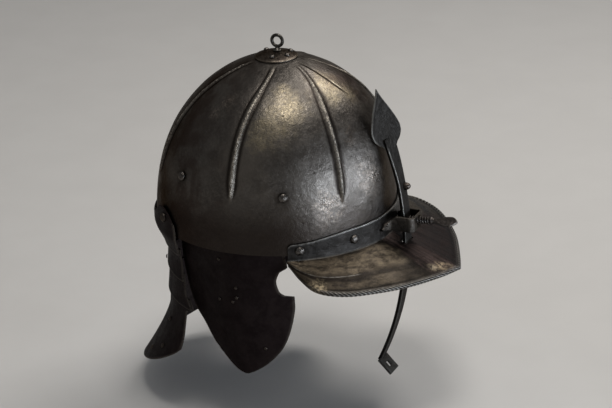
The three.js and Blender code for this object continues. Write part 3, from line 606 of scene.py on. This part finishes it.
def skull_shell():
    seams = []
    ribs = sorted([*RIB_ANGLES, *[360 - angle for angle in RIB_ANGLES]])
    for angle, after in zip(ribs, ribs[1:] + [ribs[0] + 360]):
        seams += [angle + step for step in spaced(25, -5, 5)]
        seams += spaced(26, angle + 5, after - 5)[1:-1]
    levels = [SKULL.height * sin(a) ** 0.74 for a in spaced(96, 0, 1.5)]
    places = [(degrees, up) for up in levels for degrees in seams]
    points, marks = [], []
    for degrees, up in places:
        seam = radians(degrees)
        lift, crest, hollow = rib_marks(seam, up)
        lumps = noise.noise(Vector((degrees * 0.5, 0, up / 4.5)))
        point = skull_point(seam, up, lift=lift * (1 + 0.16 * lumps))
        near = up > 105 and (degrees < 32 or degrees > 345)
        crease = crease_marks(point) if near else FAR_FROM_CREASE
        marks.append((crest * (0.85 + 0.5 * lumps), hollow, *crease))
        dent = noise.noise(point / 26) * 0.28 + noise.noise(point / 11) * 0.07
        points.append(point * (1 + (dent - 0.25) * smooth(up / 12) / 110))
    inside = 1 - SKULL.wall / SKULL.height
    points += [skull_point(radians(degrees), up * inside, SKULL.wall) for degrees, up in places]
    points += [at(SKULL.apex_forward, 0, SKULL.height - wall) for wall in (0.2, SKULL.wall)]
    marks += [(0, 0, *FAR_FROM_CREASE)] * (len(places) + 2)
    n, base = len(seams), len(places)
    faces = shell_faces(len(levels), n)
    for j in range(n):
        a, b = base - n + j, base - n + (j + 1) % n
        faces += [(a, b, 2 * base), (base + b, base + a, 2 * base + 1)]
    marks = dict(zip(("crest", "hollow", "crease", "creased"), zip(*marks)))
    return new_mesh("skull_shell", points, faces, marks, 50)


# ---- apex ----
def apex_point(radius, phi, lift):
    share = radius / rim_radius(phi)
    shift = SKULL.apex_forward * (1 - share)
    return at(shift + radius * cos(phi), radius * sin(phi), dome_height(phi, share) + lift)


def apex_cap():
    sides = 96
    radii = [APEX.radius, 18.5, 18, 17, 15, 12, 9, 6, 3, 0.5]
    points, edges = [], []
    for upper in (True, False):
        for radius in radii:
            crown = APEX.crown * (1 - (radius / APEX.radius) ** 2) + APEX.thickness
            crown -= 0.5 * smooth((radius - 17.8) / 1.1)
            for j in range(sides):
                points.append(apex_point(radius, 2 * pi * j / sides, GAP + (crown if upper else 0)))
            edges += [smooth((radius - 17.6) / 1) * 0.5 if upper else 0] * sides
    last = len(radii) * sides
    faces = shell_faces(len(radii), sides)
    faces += [tuple(range(last - sides, last)), tuple(reversed(range(2 * last - sides, 2 * last)))]
    return new_mesh("apex_cap", points, faces, {"edge": edges, "hollow": [0.0] * len(points)}, 45)


def apex_ring():
    centre = at(SKULL.apex_forward, 0, EYE.height)
    points, faces = [], []
    around, section = 64, 20
    for i in range(around):
        turn = 2 * pi * i / around
        out = Vector((0, cos(turn), sin(turn)))
        for j in range(section):
            angle = 2 * pi * j / section
            points.append(centre + out * (EYE.radius + EYE.wire * cos(angle))
                          + Vector((EYE.wire * sin(angle), 0, 0)))
            a, b = i * section + j, i * section + (j + 1) % section
            c, d = (i + 1) % around * section + j, (i + 1) % around * section + (j + 1) % section
            faces.append((a, b, d, c))
    ring = new_mesh("ring", points, faces)
    foot = SKULL.height + 2 * GAP + APEX.thickness + APEX.crown
    neck = EYE.height - EYE.radius + EYE.wire * 0.5
    profile = [(3.7, foot), (3.95, foot + 0.3), (3.8, foot + 0.7), (3.1, foot + 1.2), (2.3, foot + 1.7),
               (1.8, foot + 2.3), (1.55, foot + 3.0), (1.4, neck - 0.8), (1.2, neck)]
    return joined("apex_ring", ring, turned("stalk", profile, at(SKULL.apex_forward, 0, 0), UP, 32))


# ---- peak ----
def bar_slope(up):
    return asin((up - BAR.up) / BAR.radius)


def bar_point(up, right, out):
    angle, reach = bar_slope(up), BAR.radius + out
    return at(BAR.forward + reach * cos(angle), right, BAR.up + reach * sin(angle))


def flange_top(u):
    level = lerp(PEAK.top_front, PEAK.top_end, smooth((abs(u) - 0.45) / 0.55))
    corner = max((abs(u) - 0.955) / 0.045, 0)
    return level - 3.6 * (1 - math.sqrt(max(1 - corner * corner, 0)))


def peak_plate():
    """The flange, the falling plate and its turned edge, as a loft along the peak's outline."""
    columns = 1301
    half = smooth_path([at(*point) for point in PEAK_EDGE], columns // 2 + 1)
    edge = half[::-1] + [Vector((-p.x, p.y, p.z)) for p in half[1:]]
    length = sum((q - p).length for p, q in zip(edge, edge[1:]))
    thick = PEAK.thickness / 2
    sections, runs, falls, dulls = [], [], [], []
    for i, tip in enumerate(edge):
        u = lerp(-1, 1, i / (columns - 1))
        phi = -u * radians(PEAK.half_angle)
        reach = rim_radius(phi, -(GAP + thick))
        seat = at(reach * cos(phi), reach * sin(phi), -PEAK.drop)
        out = Vector((seat.x / reach ** 2, seat.y / reach ** 2, 0)).normalized()
        run = (edge[min(i + 1, columns - 1)] - edge[max(i - 1, 0)]).normalized()
        fall = (tip - seat).normalized()
        over = fall.cross(run).normalized()
        over = over if over.z > 0 else -over
        mitre = (out + over) * thick / (1 + out.dot(over))
        roped = 1 - smooth((abs(u) - 0.72) / 0.08)
        bead = lerp(1.15, PEAK.bead, 1 - smooth((abs(u) - 0.78) / 0.12))
        start = asin(min(thick / bead, 0.99))
        along = length * i / (columns - 1)
        section, level = [], flange_top(u)
        for drop in (0.0, 0.3, 0.8, 1.6, 5, 10):
            z = max(level - drop, 1.5 - PEAK.drop)
            soft = 0.45 * (1 - smooth(drop / 0.7))
            wear = 1 - smooth((drop - 0.2) / 0.9)
            section.append((Vector((seat.x, seat.y, z)) + out * (thick - soft), wear, 0))
        # Painted shade in the corner where the flange meets the fall.
        section.append((seat + mitre + UP * 1.1 + out * 0.05, 0, 0.5))
        section.append((seat + mitre + fall * 0.6 + over * 0.12, 0.45, 0))
        reach_in = (tip - seat).length - cos(start) * bead
        first = min(2.0 / reach_in, 0.07)
        for share in (first, 0.12, 0.25, 0.4, 0.55, 0.7, 0.82, 0.9, 0.945, 0.97, 1.0):
            swell = 0.5 * sin(pi * share)
            inner = (1 - share) * reach_in
            # A shallow groove inside the turned edge, with painted shade along it.
            border = bell(inner - 2.6, 0.9) * roped
            point = seat + fall * share * reach_in + over * (thick + swell - 0.35 * border)
            section.append((point, 0.25 * bell(inner, 0.7) * roped, 0.9 * border))
        for angle in spaced(19, pi - start, start - pi):
            twist = cos(4 * angle + 2 * pi * along / ROPE.pitch)
            radius = bead * (1 - roped * ROPE.depth * (1 - twist))
            point = tip + fall * radius * cos(angle) + over * radius * sin(angle)
            # The rope's raised twists are marked as worn edge; painted shade lies in its grooves.
            wear = lerp(0.25, 0.62, roped) * lerp(0.3, 1, smooth(0.3 + 0.9 * twist))
            section.append((point, wear, roped * smooth(-0.2 - twist * 1.3)))
        under = [seat + fall * share * reach_in - over * thick for share in (0.9, 0.6, 0.3, 0.1)]
        under.append(seat - mitre)
        for drop in (10, 1.6, 0.4, 0.0):
            z = max(level - drop, 1.5 - PEAK.drop)
            under.append(Vector((seat.x, seat.y, z)) - out * (thick - 0.2 * (drop == 0)))
        section += [(point, 0, 0) for point in under]
        sections.append(section)
        runs += [length / 2 - along] * len(section)
        falls += [min((point - seat).dot(fall) / (tip - seat).length, 1) for point, _, _ in section]
        dulls += [1.0] * 6 + [0.8] + [0.0] * (len(section) - 7)
    sheet = loft("peak_plate", sections, 45, run=runs, fall=falls, dull=dulls)
    bar_y = bar_point(-8, 0, 0).y
    x, y = PEAK.slot_wide / 2, PEAK.slot_long / 2
    corners = [(sx * x, bar_y + sy * y) for sx, sy in ((1, 1), (-1, 1), (-1, -1), (1, -1))]
    slot = loft("slot", [[(Vector((*corner, z)), 0, 0) for corner in corners] for z in (-23, 7)])
    return cut_out(sheet, slot, 45, weld=0.02)


# ---- nasal ----
def twisted_point(up, right, out):
    twist = radians(BAR.twist) * smooth((up - BAR.twist_from) / (BAR.top - BAR.twist_from))
    across, off = cos(twist), sin(twist)
    return bar_point(up, right * across + out * off, out * across - right * off)


LEAF_HALF = [(-0.06, 0.2), (0, 0.27), (0.03, 0.34), (0.09, 0.42), (0.17, 0.485), (0.25, 0.495), (0.33, 0.47),
             (0.5, 0.37), (0.6, 0.3), (0.8, 0.14), (0.9, 0.065), (1, 0.008)]
WING_HALF = [(-0.06, 0.15), (0, 0.17), (0.15, 0.27), (0.35, 0.4), (0.55, 0.49), (0.72, 0.5), (0.87, 0.36),
             (1, 0.08)]


def leaf_solid(name, outline, length, width, place_point, ridge, border=0.0):
    """A spade-shaped leaf; place_point turns (across, along, off) into a point."""
    sections = []
    for v in spaced(70, -0.06, 1.0):
        half = max(lookup(outline, v) * width, 0.2)
        section = []
        for side in (1, -1):
            for w in spaced(25, -side, side):
                rim = (1 - abs(w)) * half
                off, shadow = side * min(LEAF.thickness / 2, 0.35 + rim), 0
                if side > 0:
                    off += ridge * bell(w * half, 2.2) * (1 - smooth((v - 0.02) / 0.4))
                    off -= border * bell(rim - 1.9, 0.5)
                    shadow = 0.5 * bell(rim - 1.9, 0.6) if border else 0
                section.append((place_point(w * half, v * length, off), bell(rim, 0.7), shadow))
        sections.append(section)
    return loft(name, sections, 50)


def nasal():
    deep = BAR.thickness / 2
    # Painted shade on the bar's side and back faces.
    hollows = [0, 0.2, 0.85, 0.85, 0.6, 0.6, 0.85, 0.85, 0.2, 0, 0, 0]
    sections = []
    for up in spaced(120, BAR.foot, BAR.top + 3):
        half = lerp(BAR.foot_width, BAR.width, smooth((up - BAR.foot) / 110)) / 2
        outline = [(half - 0.5, deep), (half, deep - 0.5), (half, deep - 1.2), (half, 0.6 - deep),
                   (half - 0.6, -deep), (0.6 - half, -deep), (-half, 0.6 - deep), (-half, deep - 1.2),
                   (-half, deep - 0.5), (0.5 - half, deep), (1.0 - half, deep), (half - 1.0, deep)]
        # A painted highlight along the bar's near front arris, fainter at both ends; the far arris is only a
        # little lighter.
        arris = lerp(0.45, 1, smooth((up - 4) / 10)) * smooth((BAR.top - 1 - up) / 8)
        edges = [arris, 0.4 * arris, 0, 0, 0, 0, 0, 0, 0.2, 0.2, 0, 0]
        sections.append([(twisted_point(up, *spot), *marks) for spot, *marks in zip(outline, edges, hollows)])
    bar = loft("bar", sections, 50)

    root = bar_point(BAR.top - 2, 0, 0)
    lean = Matrix.Rotation(-radians(LEAF.lean), 3, "X") @ Matrix.Rotation(-radians(LEAF.turn), 3, "Z")

    def leaf_place(across, along, off):
        bow = LEAF.bow * sin(pi * min(max(along / LEAF.length, 0), 1))
        return root + lean @ Vector((across, bow - off, along))

    leaf = leaf_solid("leaf", LEAF_HALF, LEAF.length, LEAF.width, leaf_place, 1.0, 0.12)

    pitch = radians(FOOT.pitch)
    heel = bar_point(BAR.foot + 1.2, 0, 0)
    down = Vector((0, -cos(pitch), -sin(pitch)))
    face = Vector((0, sin(pitch), -cos(pitch)))
    h, w, mid = FOOT.hole / 2, FOOT.width / 2, FOOT.length * 0.52
    xs, ys = [-w, -h, h, w], [0, mid - h, mid + h, FOOT.length]
    points = [heel + Vector((x, 0, 0)) + down * y + face * side * FOOT.thickness / 2
              for side in (1, -1) for y in ys for x in xs]
    faces = []
    for a in (0, 1, 2, 4, 6, 8, 9, 10):         # the nine fields of the plate but for the hole
        faces += [(a, a + 1, a + 5, a + 4), (16 + a, 20 + a, 21 + a, 17 + a)]
    for loop in ([0, 1, 2, 3, 7, 11, 15, 14, 13, 12, 8, 4], [5, 9, 10, 6]):
        faces += [(a, 16 + a, 16 + b, b) for a, b in zip(loop, loop[1:] + loop[:1])]
    foot = rounded(new_mesh("foot", points, faces, {"edge": [0.2] * 32, "hollow": [0.0] * 32}), 0.5)
    return joined("nasal_blade", bar, leaf, foot)


# ---- staple and screw ----
def flange_face(right):
    """How far forward the flange's face is, at a distance to the side."""
    seat = PEAK.thickness + 2 * GAP + 0.3
    phi = asin(right / (SKULL.side + seat))
    return rim_radius(phi, -seat) * cos(phi)


SCREW_SLOPE = bar_slope(SCREW.up)
SCREW_AXIS = Vector((0, -cos(SCREW_SLOPE), sin(SCREW_SLOPE)))
SCREW_BASE = bar_point(SCREW.up, 0, 0)


def staple_strap():
    mid, soft = STAPLE.strap / 2, 0.5
    front, half, reach = STAPLE.front - mid, STAPLE.half - mid, STAPLE.reach
    side = [(front, 0), (front, half - 5), (front - 0.3, half - 2), (front - 2.2, half - 0.2),
            (front - 6, half), (flange_face(half) + 9, half), (flange_face(half + 0.7) + 5, half + 0.7),
            (flange_face(half + 2.4) + mid + 1.5, half + 2.4), (flange_face(half + 5) + mid + 0.2, half + 5),
            (flange_face(reach) + mid + 0.1, reach)]
    path = smooth_path([at(f, r, 0) for f, r in side], 60)
    path = [Vector((-p.x, p.y, 0)) for p in reversed(path)][:-1] + path
    edges = [0.55, 0.55, 0.25, 0.1, 0, 0, 0.1, 0.55]
    sections = []
    for i, point in enumerate(path):
        run = (path[min(i + 1, len(path) - 1)] - path[max(i - 1, 0)]).normalized()
        out = UP.cross(run)
        taper = smooth((abs(point.x) - half - 1.5) / (reach - half - 1.5))
        slope = STAPLE.high - STAPLE.fall * max(STAPLE.shoulder + point.y, 0) ** 1.04
        high = min(lerp(STAPLE.high, STAPLE.low + 3.2, taper ** 0.8), slope)
        low = STAPLE.low + 1.2 * taper
        outline = [(mid - soft, high), (mid, high - soft), (mid, low + soft), (mid - soft, low),
                   (soft - mid, low), (-mid, low + soft), (-mid, high - soft), (soft - mid, high)]
        sections.append([(point + out * o + UP * z, edge, 0) for (o, z), edge in zip(outline, edges)])
    strap = loft("staple_strap", sections, 50)
    hole = turned("hole", [(SCREW.hole, 0), (SCREW.hole, 20)], SCREW_BASE + SCREW_AXIS * 2, SCREW_AXIS, 32)
    return cut_out(strap, hole)


def clamp_screw():
    start = BAR.thickness / 2 + GAP
    shoulder = SCREW.shoulder + SCREW_BASE.y

    def threaded(radius, height, angle):
        turn = (height / SCREW.pitch - angle / (2 * pi)) % 1
        groove = abs(2 * turn - 1)
        fade = smooth((shoulder - 0.6 - height) / 1.2) * smooth((height - start - 0.3) / 0.8)
        return radius * (1 - 0.3 * smooth(groove * 1.3) * fade)

    # Crests marked as worn edge; painted shade in the thread's roots.
    def thread_marks(radius):
        return 0.45 * smooth((radius - 3.0) / 0.4), smooth((3.0 - radius) / 0.3) if radius > 2.3 else 0

    shank = SCREW.shank
    profile = [(shank - 0.7, start)] + [(shank, h) for h in spaced(150, start + 0.6, shoulder)]
    profile += [(shank * 0.9, shoulder + 0.6), (shank * 0.66, shoulder + 1.6), (shank * 0.6, shoulder + 2.4)]
    thread = turned("thread", profile, SCREW_BASE, SCREW_AXIS, 48, threaded, thread_marks)
    turn = UP.rotation_difference(SCREW_AXIS).to_matrix() @ Matrix.Rotation(radians(SCREW.tilt), 3, "Z")
    root = SCREW_BASE + SCREW_AXIS * (shoulder + 1.4)
    leaf = leaf_solid("screw_leaf", WING_HALF, SCREW.leaf_length, SCREW.leaf_width,
                      lambda across, along, off: root + turn @ Vector((across, off, along)), 0.5)
    return joined("clamp_screw", thread, leaf)


# ---- cheekpieces ----
def cheek_point(forward, up, side):
    lean = 1 + CHEEK.lean * min(up, 0) / 100
    phi = math.degrees(math.acos(min(max(forward / ((SKULL.front - 3.4) * lean), -1), 1)))
    tuck = lerp(3.4, 13.2, smooth((phi - 84) / 28))
    long = (SKULL.front if forward >= 0 else SKULL.back) - tuck
    wide = (SKULL.side - tuck) * lean
    return at(forward, side * wide * math.sqrt(max(1 - (forward / (long * lean)) ** 2, 0)), up)


def cheek_plate(name, side):
    foot = CHEEK_FRONT[0][0]
    grid = []
    for up in sorted({*spaced(90, foot, CHEEK.top), *[key for key, _ in CHEEK_FRONT[:-1]]}):
        rear, fore = lookup(CHEEK_REAR, up), lookup(CHEEK_FRONT, up)
        row = []
        for forward in spaced(41, rear, fore):
            rim = min(forward - rear, fore - forward, (up - foot) * 1.2 + 0.5)
            row.append((cheek_point(forward, up, side), bell(rim, 1.1), 0))
        grid.append(row)
    return plate(name, grid, CHEEK.thickness, 0.45)


# ---- neck guard ----
def lame_point(index, share, v):
    lame = LAMES[index]
    dome = cos(share * pi / 2)
    ears = lame.ears * smooth((abs(share) - 0.42) / 0.45)
    corner = 12 * smooth((abs(share) - 0.9) / 0.1) ** 2 if lame.ears else 0
    up = lerp(lame.top + ears - corner, lame.bottom - lame.dip * dome ** 0.75, v)
    phi = pi - share * radians(lookup(GUARD_HALF, up))
    flare = lame.flare * (0.3 + 0.7 * dome ** 0.6) * max((v - 0.3) / 0.7, 0) ** 1.35
    tuck = LAME.tuck * (1 - v) if index else 0
    reach = rim_radius(phi, lookup(GUARD_INSET, up) + tuck) + flare
    return at(reach * cos(phi), reach * sin(phi), up)


def lame_plate(index):
    grid = []
    for v in spaced(46):
        foot = (1 - v) * (36 if index < 3 else 75)
        row = []
        for share in spaced(91, -1, 1):
            edge = max(bell((1 - abs(share)) * 95, 1.2), bell(foot, 1.0))
            # Rims marked as worn edge; a line of painted shade a little above the lower edge.
            row.append((lame_point(index, share, v), edge, 0.6 * bell(foot - 3.2, 0.7)))
        grid.append(row)
    return plate(f"lame_plate_{index + 1}", grid, LAME.thickness, 0.4)


# ---- rivets ----
def rivet_tree():
    """A domed rivet head on each point of a cloud, turned to its outward attribute, as wide as its wide one."""
    tree = bpy.data.node_groups.new("rivet_heads", "GeometryNodeTree")

    def socket(name, kind, way="INPUT"):
        return tree.interface.new_socket(name, in_out=way, socket_type="NodeSocket" + kind)

    def add(kind, inputs=(), **settings):
        return add_node(tree, kind, inputs, **settings)

    socket("Seats", "Geometry")
    flat, steps, metal = socket("Flatness", "Float"), socket("Segments", "Int"), socket("Metal", "Material")
    socket("Heads", "Geometry", "OUTPUT")
    flat.default_value, steps.default_value = 0.65, 24
    given = add("NodeGroupInput")
    outward = add("GeometryNodeInputNamedAttribute", {"Name": "outward"}, data_type="FLOAT_VECTOR")
    wide = add("GeometryNodeInputNamedAttribute", {"Name": "wide"}, data_type="FLOAT")
    ball = add("GeometryNodeMeshUVSphere", {"Segments": given["Segments"], "Rings": 16, "Radius": 1.0})
    spot = add("ShaderNodeSeparateXYZ", {0: add("GeometryNodeInputPosition")[0]})
    level = add("ShaderNodeMath", {0: spot["Z"], 1: 0.0}, operation="MAXIMUM")
    low = add("ShaderNodeMath", {0: level[0], 1: given["Flatness"]}, operation="MULTIPLY")
    domed = add("ShaderNodeCombineXYZ", {"X": spot["X"], "Y": spot["Y"], "Z": low[0]})
    head = add("GeometryNodeSetPosition", {"Geometry": ball["Mesh"], "Position": domed[0]})
    turn = add("FunctionNodeAlignRotationToVector", {"Vector": outward["Attribute"]})
    heads = add("GeometryNodeInstanceOnPoints", {
        "Points": given["Seats"], "Instance": head["Geometry"], "Rotation": turn["Rotation"],
        "Scale": wide["Attribute"]})
    real = add("GeometryNodeRealizeInstances", {"Geometry": heads["Instances"]})
    soft = add("GeometryNodeSetShadeSmooth", {"Geometry": real["Geometry"]})
    painted = add("GeometryNodeSetMaterial", {"Geometry": soft["Geometry"], "Material": given["Metal"]})
    add("NodeGroupOutput", {"Heads": painted["Geometry"]})
    return tree, flat.identifier, steps.identifier, metal.identifier


def rivet_seat(node):
    """Seat, outward direction and radius of a CAD rivet, from its flat underside."""
    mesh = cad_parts[node].data
    sides = {}
    for face in mesh.polygons:
        sides.setdefault(tuple(round(value, 2) for value in face.normal), []).append(face)
    flat = max(sides.values(), key=lambda faces: sum(face.area for face in faces))
    corners = {tuple(round(value, 6) for value in mesh.vertices[v].co) for face in flat for v in face.vertices}
    corners = [Vector(corner) for corner in corners]
    middle = sum(corners, Vector()) / len(corners)
    normal = sum((face.normal * face.area for face in flat), Vector()).normalized()
    return middle, -normal, max((corner - middle).length for corner in corners)


RIVET_TREE, FLATNESS, SEGMENTS, METAL = rivet_tree()


def rivet_row(name, nodes, flatness, finish, slot, body="helmet"):
    seats = [rivet_seat(node) for node in nodes]
    mesh = bpy.data.meshes.new(name)
    mesh.from_pydata([seat for seat, _, _ in seats], [], [])
    mesh.attributes.new("outward", "FLOAT_VECTOR", "POINT").data.foreach_set(
        "vector", [value for _, outward, _ in seats for value in outward])
    mesh.attributes.new("wide", "FLOAT", "POINT").data.foreach_set("value", [wide for _, _, wide in seats])
    piece = linked(name, mesh)
    heads = piece.modifiers.new("heads", "NODES")
    heads.node_group = RIVET_TREE
    heads[FLATNESS], heads[SEGMENTS], heads[METAL] = flatness, 28, finish
    place(bake(piece, 50), body, slot, finish, *nodes)


# ---- finishes in use ----
PEAK_SPOTS = [
    (at(88, 107, -17.5), 9, (0.30, 0.245, 0.165), 1.0), (at(88, 107, -17), 1.5, (0.015, 0.012, 0.010), 1.0),
    (at(158, 19, -24), 6, (0.30, 0.25, 0.18), 0.95), (at(163, 12, -25.5), 7, (0.24, 0.19, 0.13), 0.9),
    (at(168, 5, -27), 5, (0.16, 0.125, 0.09), 0.8), (at(150, 26, -22), 10, (0.007, 0.006, 0.005), 0.9),
]
SKULL_STEEL = skull_finish()
PEAK_STEEL = peak_finish()
APEX_STEEL = plain_steel("apex_plate_steel", (0.038, 0.030, 0.026), (0.062, 0.051, 0.043),
                         (0.24, 0.205, 0.165), 7, flecks=0.3)
RING_STEEL = plain_steel("ring_eye_steel", (0.052, 0.048, 0.044), (0.095, 0.088, 0.080), (0.30, 0.28, 0.25),
                         3, 0.26, 0.4)
NASAL_STEEL = plain_steel("grained_nasal_steel", (0.0150, 0.0136, 0.0124), (0.0280, 0.0258, 0.0238),
                          (0.28, 0.27, 0.25), 5, 0.44, 0.58, 0.7, (3.0, 3.0, 0.35), 0.2, 0.05)
STAPLE_STEEL = plain_steel("forged_staple_steel", (0.0095, 0.0088, 0.0082), (0.020, 0.0185, 0.017),
                           (0.20, 0.18, 0.16), 6, 0.38, 0.52, flecks=0.12)
SCREW_STEEL = plain_steel("handled_screw_steel", (0.034, 0.029, 0.027), (0.066, 0.058, 0.054),
                          (0.22, 0.20, 0.185), 5, flecks=0.25)
BLACK_STEEL = plain_steel("blackened_plate_steel", (0.0105, 0.0072, 0.0074), (0.0165, 0.0118, 0.0118),
                          (0.075, 0.064, 0.055), 16, 0.58, 0.74, 0.0, None, 0.05, 0.05)
RIVET_METAL = plain_steel("rubbed_rivet_metal", (0.062, 0.055, 0.050), (0.115, 0.104, 0.096),
                          (0.34, 0.32, 0.29), 3, 0.26, 0.38, flecks=0.35)
DULL_METAL = plain_steel("dull_rivet_metal", (0.040, 0.033, 0.029), (0.072, 0.061, 0.054),
                         (0.22, 0.195, 0.17), 3, 0.3, 0.42)

# ---- pieces ----
place(skull_shell(), "helmet", "skull_steel", SKULL_STEEL, "skull")
place(apex_cap(), "helmet", "apex_steel", APEX_STEEL, "apex_plate")
place(apex_ring(), "helmet", "apex_steel", RING_STEEL, "apex_eye")
place(peak_plate(), "helmet", "peak_steel", PEAK_STEEL, "peak")
place(nasal(), "nasal", "nasal_steel", NASAL_STEEL, "nasal_bar")
place(staple_strap(), "helmet", "fitting_steel", STAPLE_STEEL, "nasal_staple")
place(clamp_screw(), "wing_screw", "screw_steel", SCREW_STEEL, "wing_screw")
for hand, side in (("right", 1), ("left", -1)):
    place(cheek_plate(f"cheek_plate_{hand}", side), "helmet", "black_steel", BLACK_STEEL, f"cheekpiece_{hand}")
for index in range(len(LAMES)):
    place(lame_plate(index), "helmet", "black_steel", BLACK_STEEL, f"neck_lame_{index + 1}")


def both_sides(name, count):
    return [f"{name}_{hand}_{i + 1}" for hand in ("right", "left") for i in range(count)]


rivet_row("apex_rivets", [f"apex_rivet_{i + 1}" for i in range(4)], 0.62, RIVET_METAL, "rivet_metal")
rivet_row("skull_rivets", both_sides("skull_rivet", 2), 0.7, RIVET_METAL, "rivet_metal")
rivet_row("peak_rivets", both_sides("peak_rivet", 2), 0.68, RIVET_METAL, "rivet_metal")
rivet_row("cheek_rivets", both_sides("cheek_rivet", 6), 0.58, DULL_METAL, "small_rivet")
rivet_row("lame_rivets", both_sides("lame_rivet", 5), 0.62, DULL_METAL, "small_rivet")
rivet_row("staple_rivets", ["staple_rivet_right", "staple_rivet_left"], 0.62, DULL_METAL, "small_rivet")
rivet_row("stop_stud", ["nasal_stop"], 1.5, DULL_METAL, "small_rivet", "nasal")


# ---- studio ----
FLOOR_HEIGHT = -0.168
WARM, COOL = (1.0, 0.97, 0.92), (0.78, 0.88, 1.0)


def floor():
    corners = (-7, -7), (7, -7), (7, 7), (-7, 7)
    mesh = bpy.data.meshes.new("floor")
    mesh.from_pydata([(*corner, FLOOR_HEIGHT) for corner in corners], [], [(0, 1, 2, 3)])
    f = Finish("pale_floor")
    tone = f.blend(f.grain(60, 0.2, 0.8), (0.60, 0.59, 0.58), (0.62, 0.61, 0.60))
    f.tree.links.new(tone.socket, f.shader.inputs["Base Color"])
    f.shader.inputs["Roughness"].default_value = 0.8
    mesh.materials.append(f.material)
    linked("floor", mesh)


def soft_box(name, azimuth, elevation, distance, size, power, tint, spread=180):
    """A square light that faces the helmet; azimuth runs from the front towards the wearer's right."""
    a, e = radians(azimuth), radians(elevation)
    data = bpy.data.lights.new(name, "AREA")
    data.shape = "RECTANGLE"
    data.size, data.size_y = size
    data.energy = power
    data.color = tint
    data.spread = radians(spread)
    lamp = linked(name, data)
    level = distance * cos(e)
    lamp.location = at(level * cos(a), level * sin(a), distance * sin(e))
    lamp.rotation_euler = (-lamp.location).to_track_quat("-Z", "Y").to_euler()


def camera():
    azimuth, elevation, roll = radians(64.769), radians(21.174), radians(-1.554)
    distance, to_right, downward = 2.01032, 0.014349, 0.025281
    target = Vector((0, 0, 0.060))
    toward = Vector((-sin(azimuth) * cos(elevation), -cos(azimuth) * cos(elevation),
                     sin(elevation)))
    level = Vector((cos(azimuth), -sin(azimuth), 0))
    upright = toward.cross(level)
    right = level * cos(roll) + upright * sin(roll)
    above = upright * cos(roll) - level * sin(roll)
    aim = (right * to_right - above * downward - toward).normalized()
    data = bpy.data.cameras.new("camera")
    data.sensor_width = 36
    data.lens = 133.765
    obj = linked("camera", data)
    side = (right - aim * right.dot(aim)).normalized()
    turn = Matrix((side, side.cross(aim), -aim)).transposed()
    obj.matrix_world = Matrix.Translation(target + toward * distance) @ turn.to_4x4()
    scene.camera = obj


floor()
soft_box("overhead", 40, 79, 1.6, (0.55, 0.55), 9.2, WARM)
soft_box("far_side", -64, 54, 1.7, (0.9, 0.6), 13.5, WARM)
for azimuth in (-16, -4, 8, 20, 32):
    soft_box("front", azimuth, 0, 0.9, (0.19, 0.13), 0.058, COOL, 36)
world = bpy.data.worlds.new("studio")
world.use_nodes = True
world.node_tree.nodes["Background"].inputs["Color"].default_value = (1, 1, 1, 1)
world.node_tree.nodes["Background"].inputs["Strength"].default_value = 0.19
scene.world = world
scene.view_settings.view_transform = "Standard"
camera()
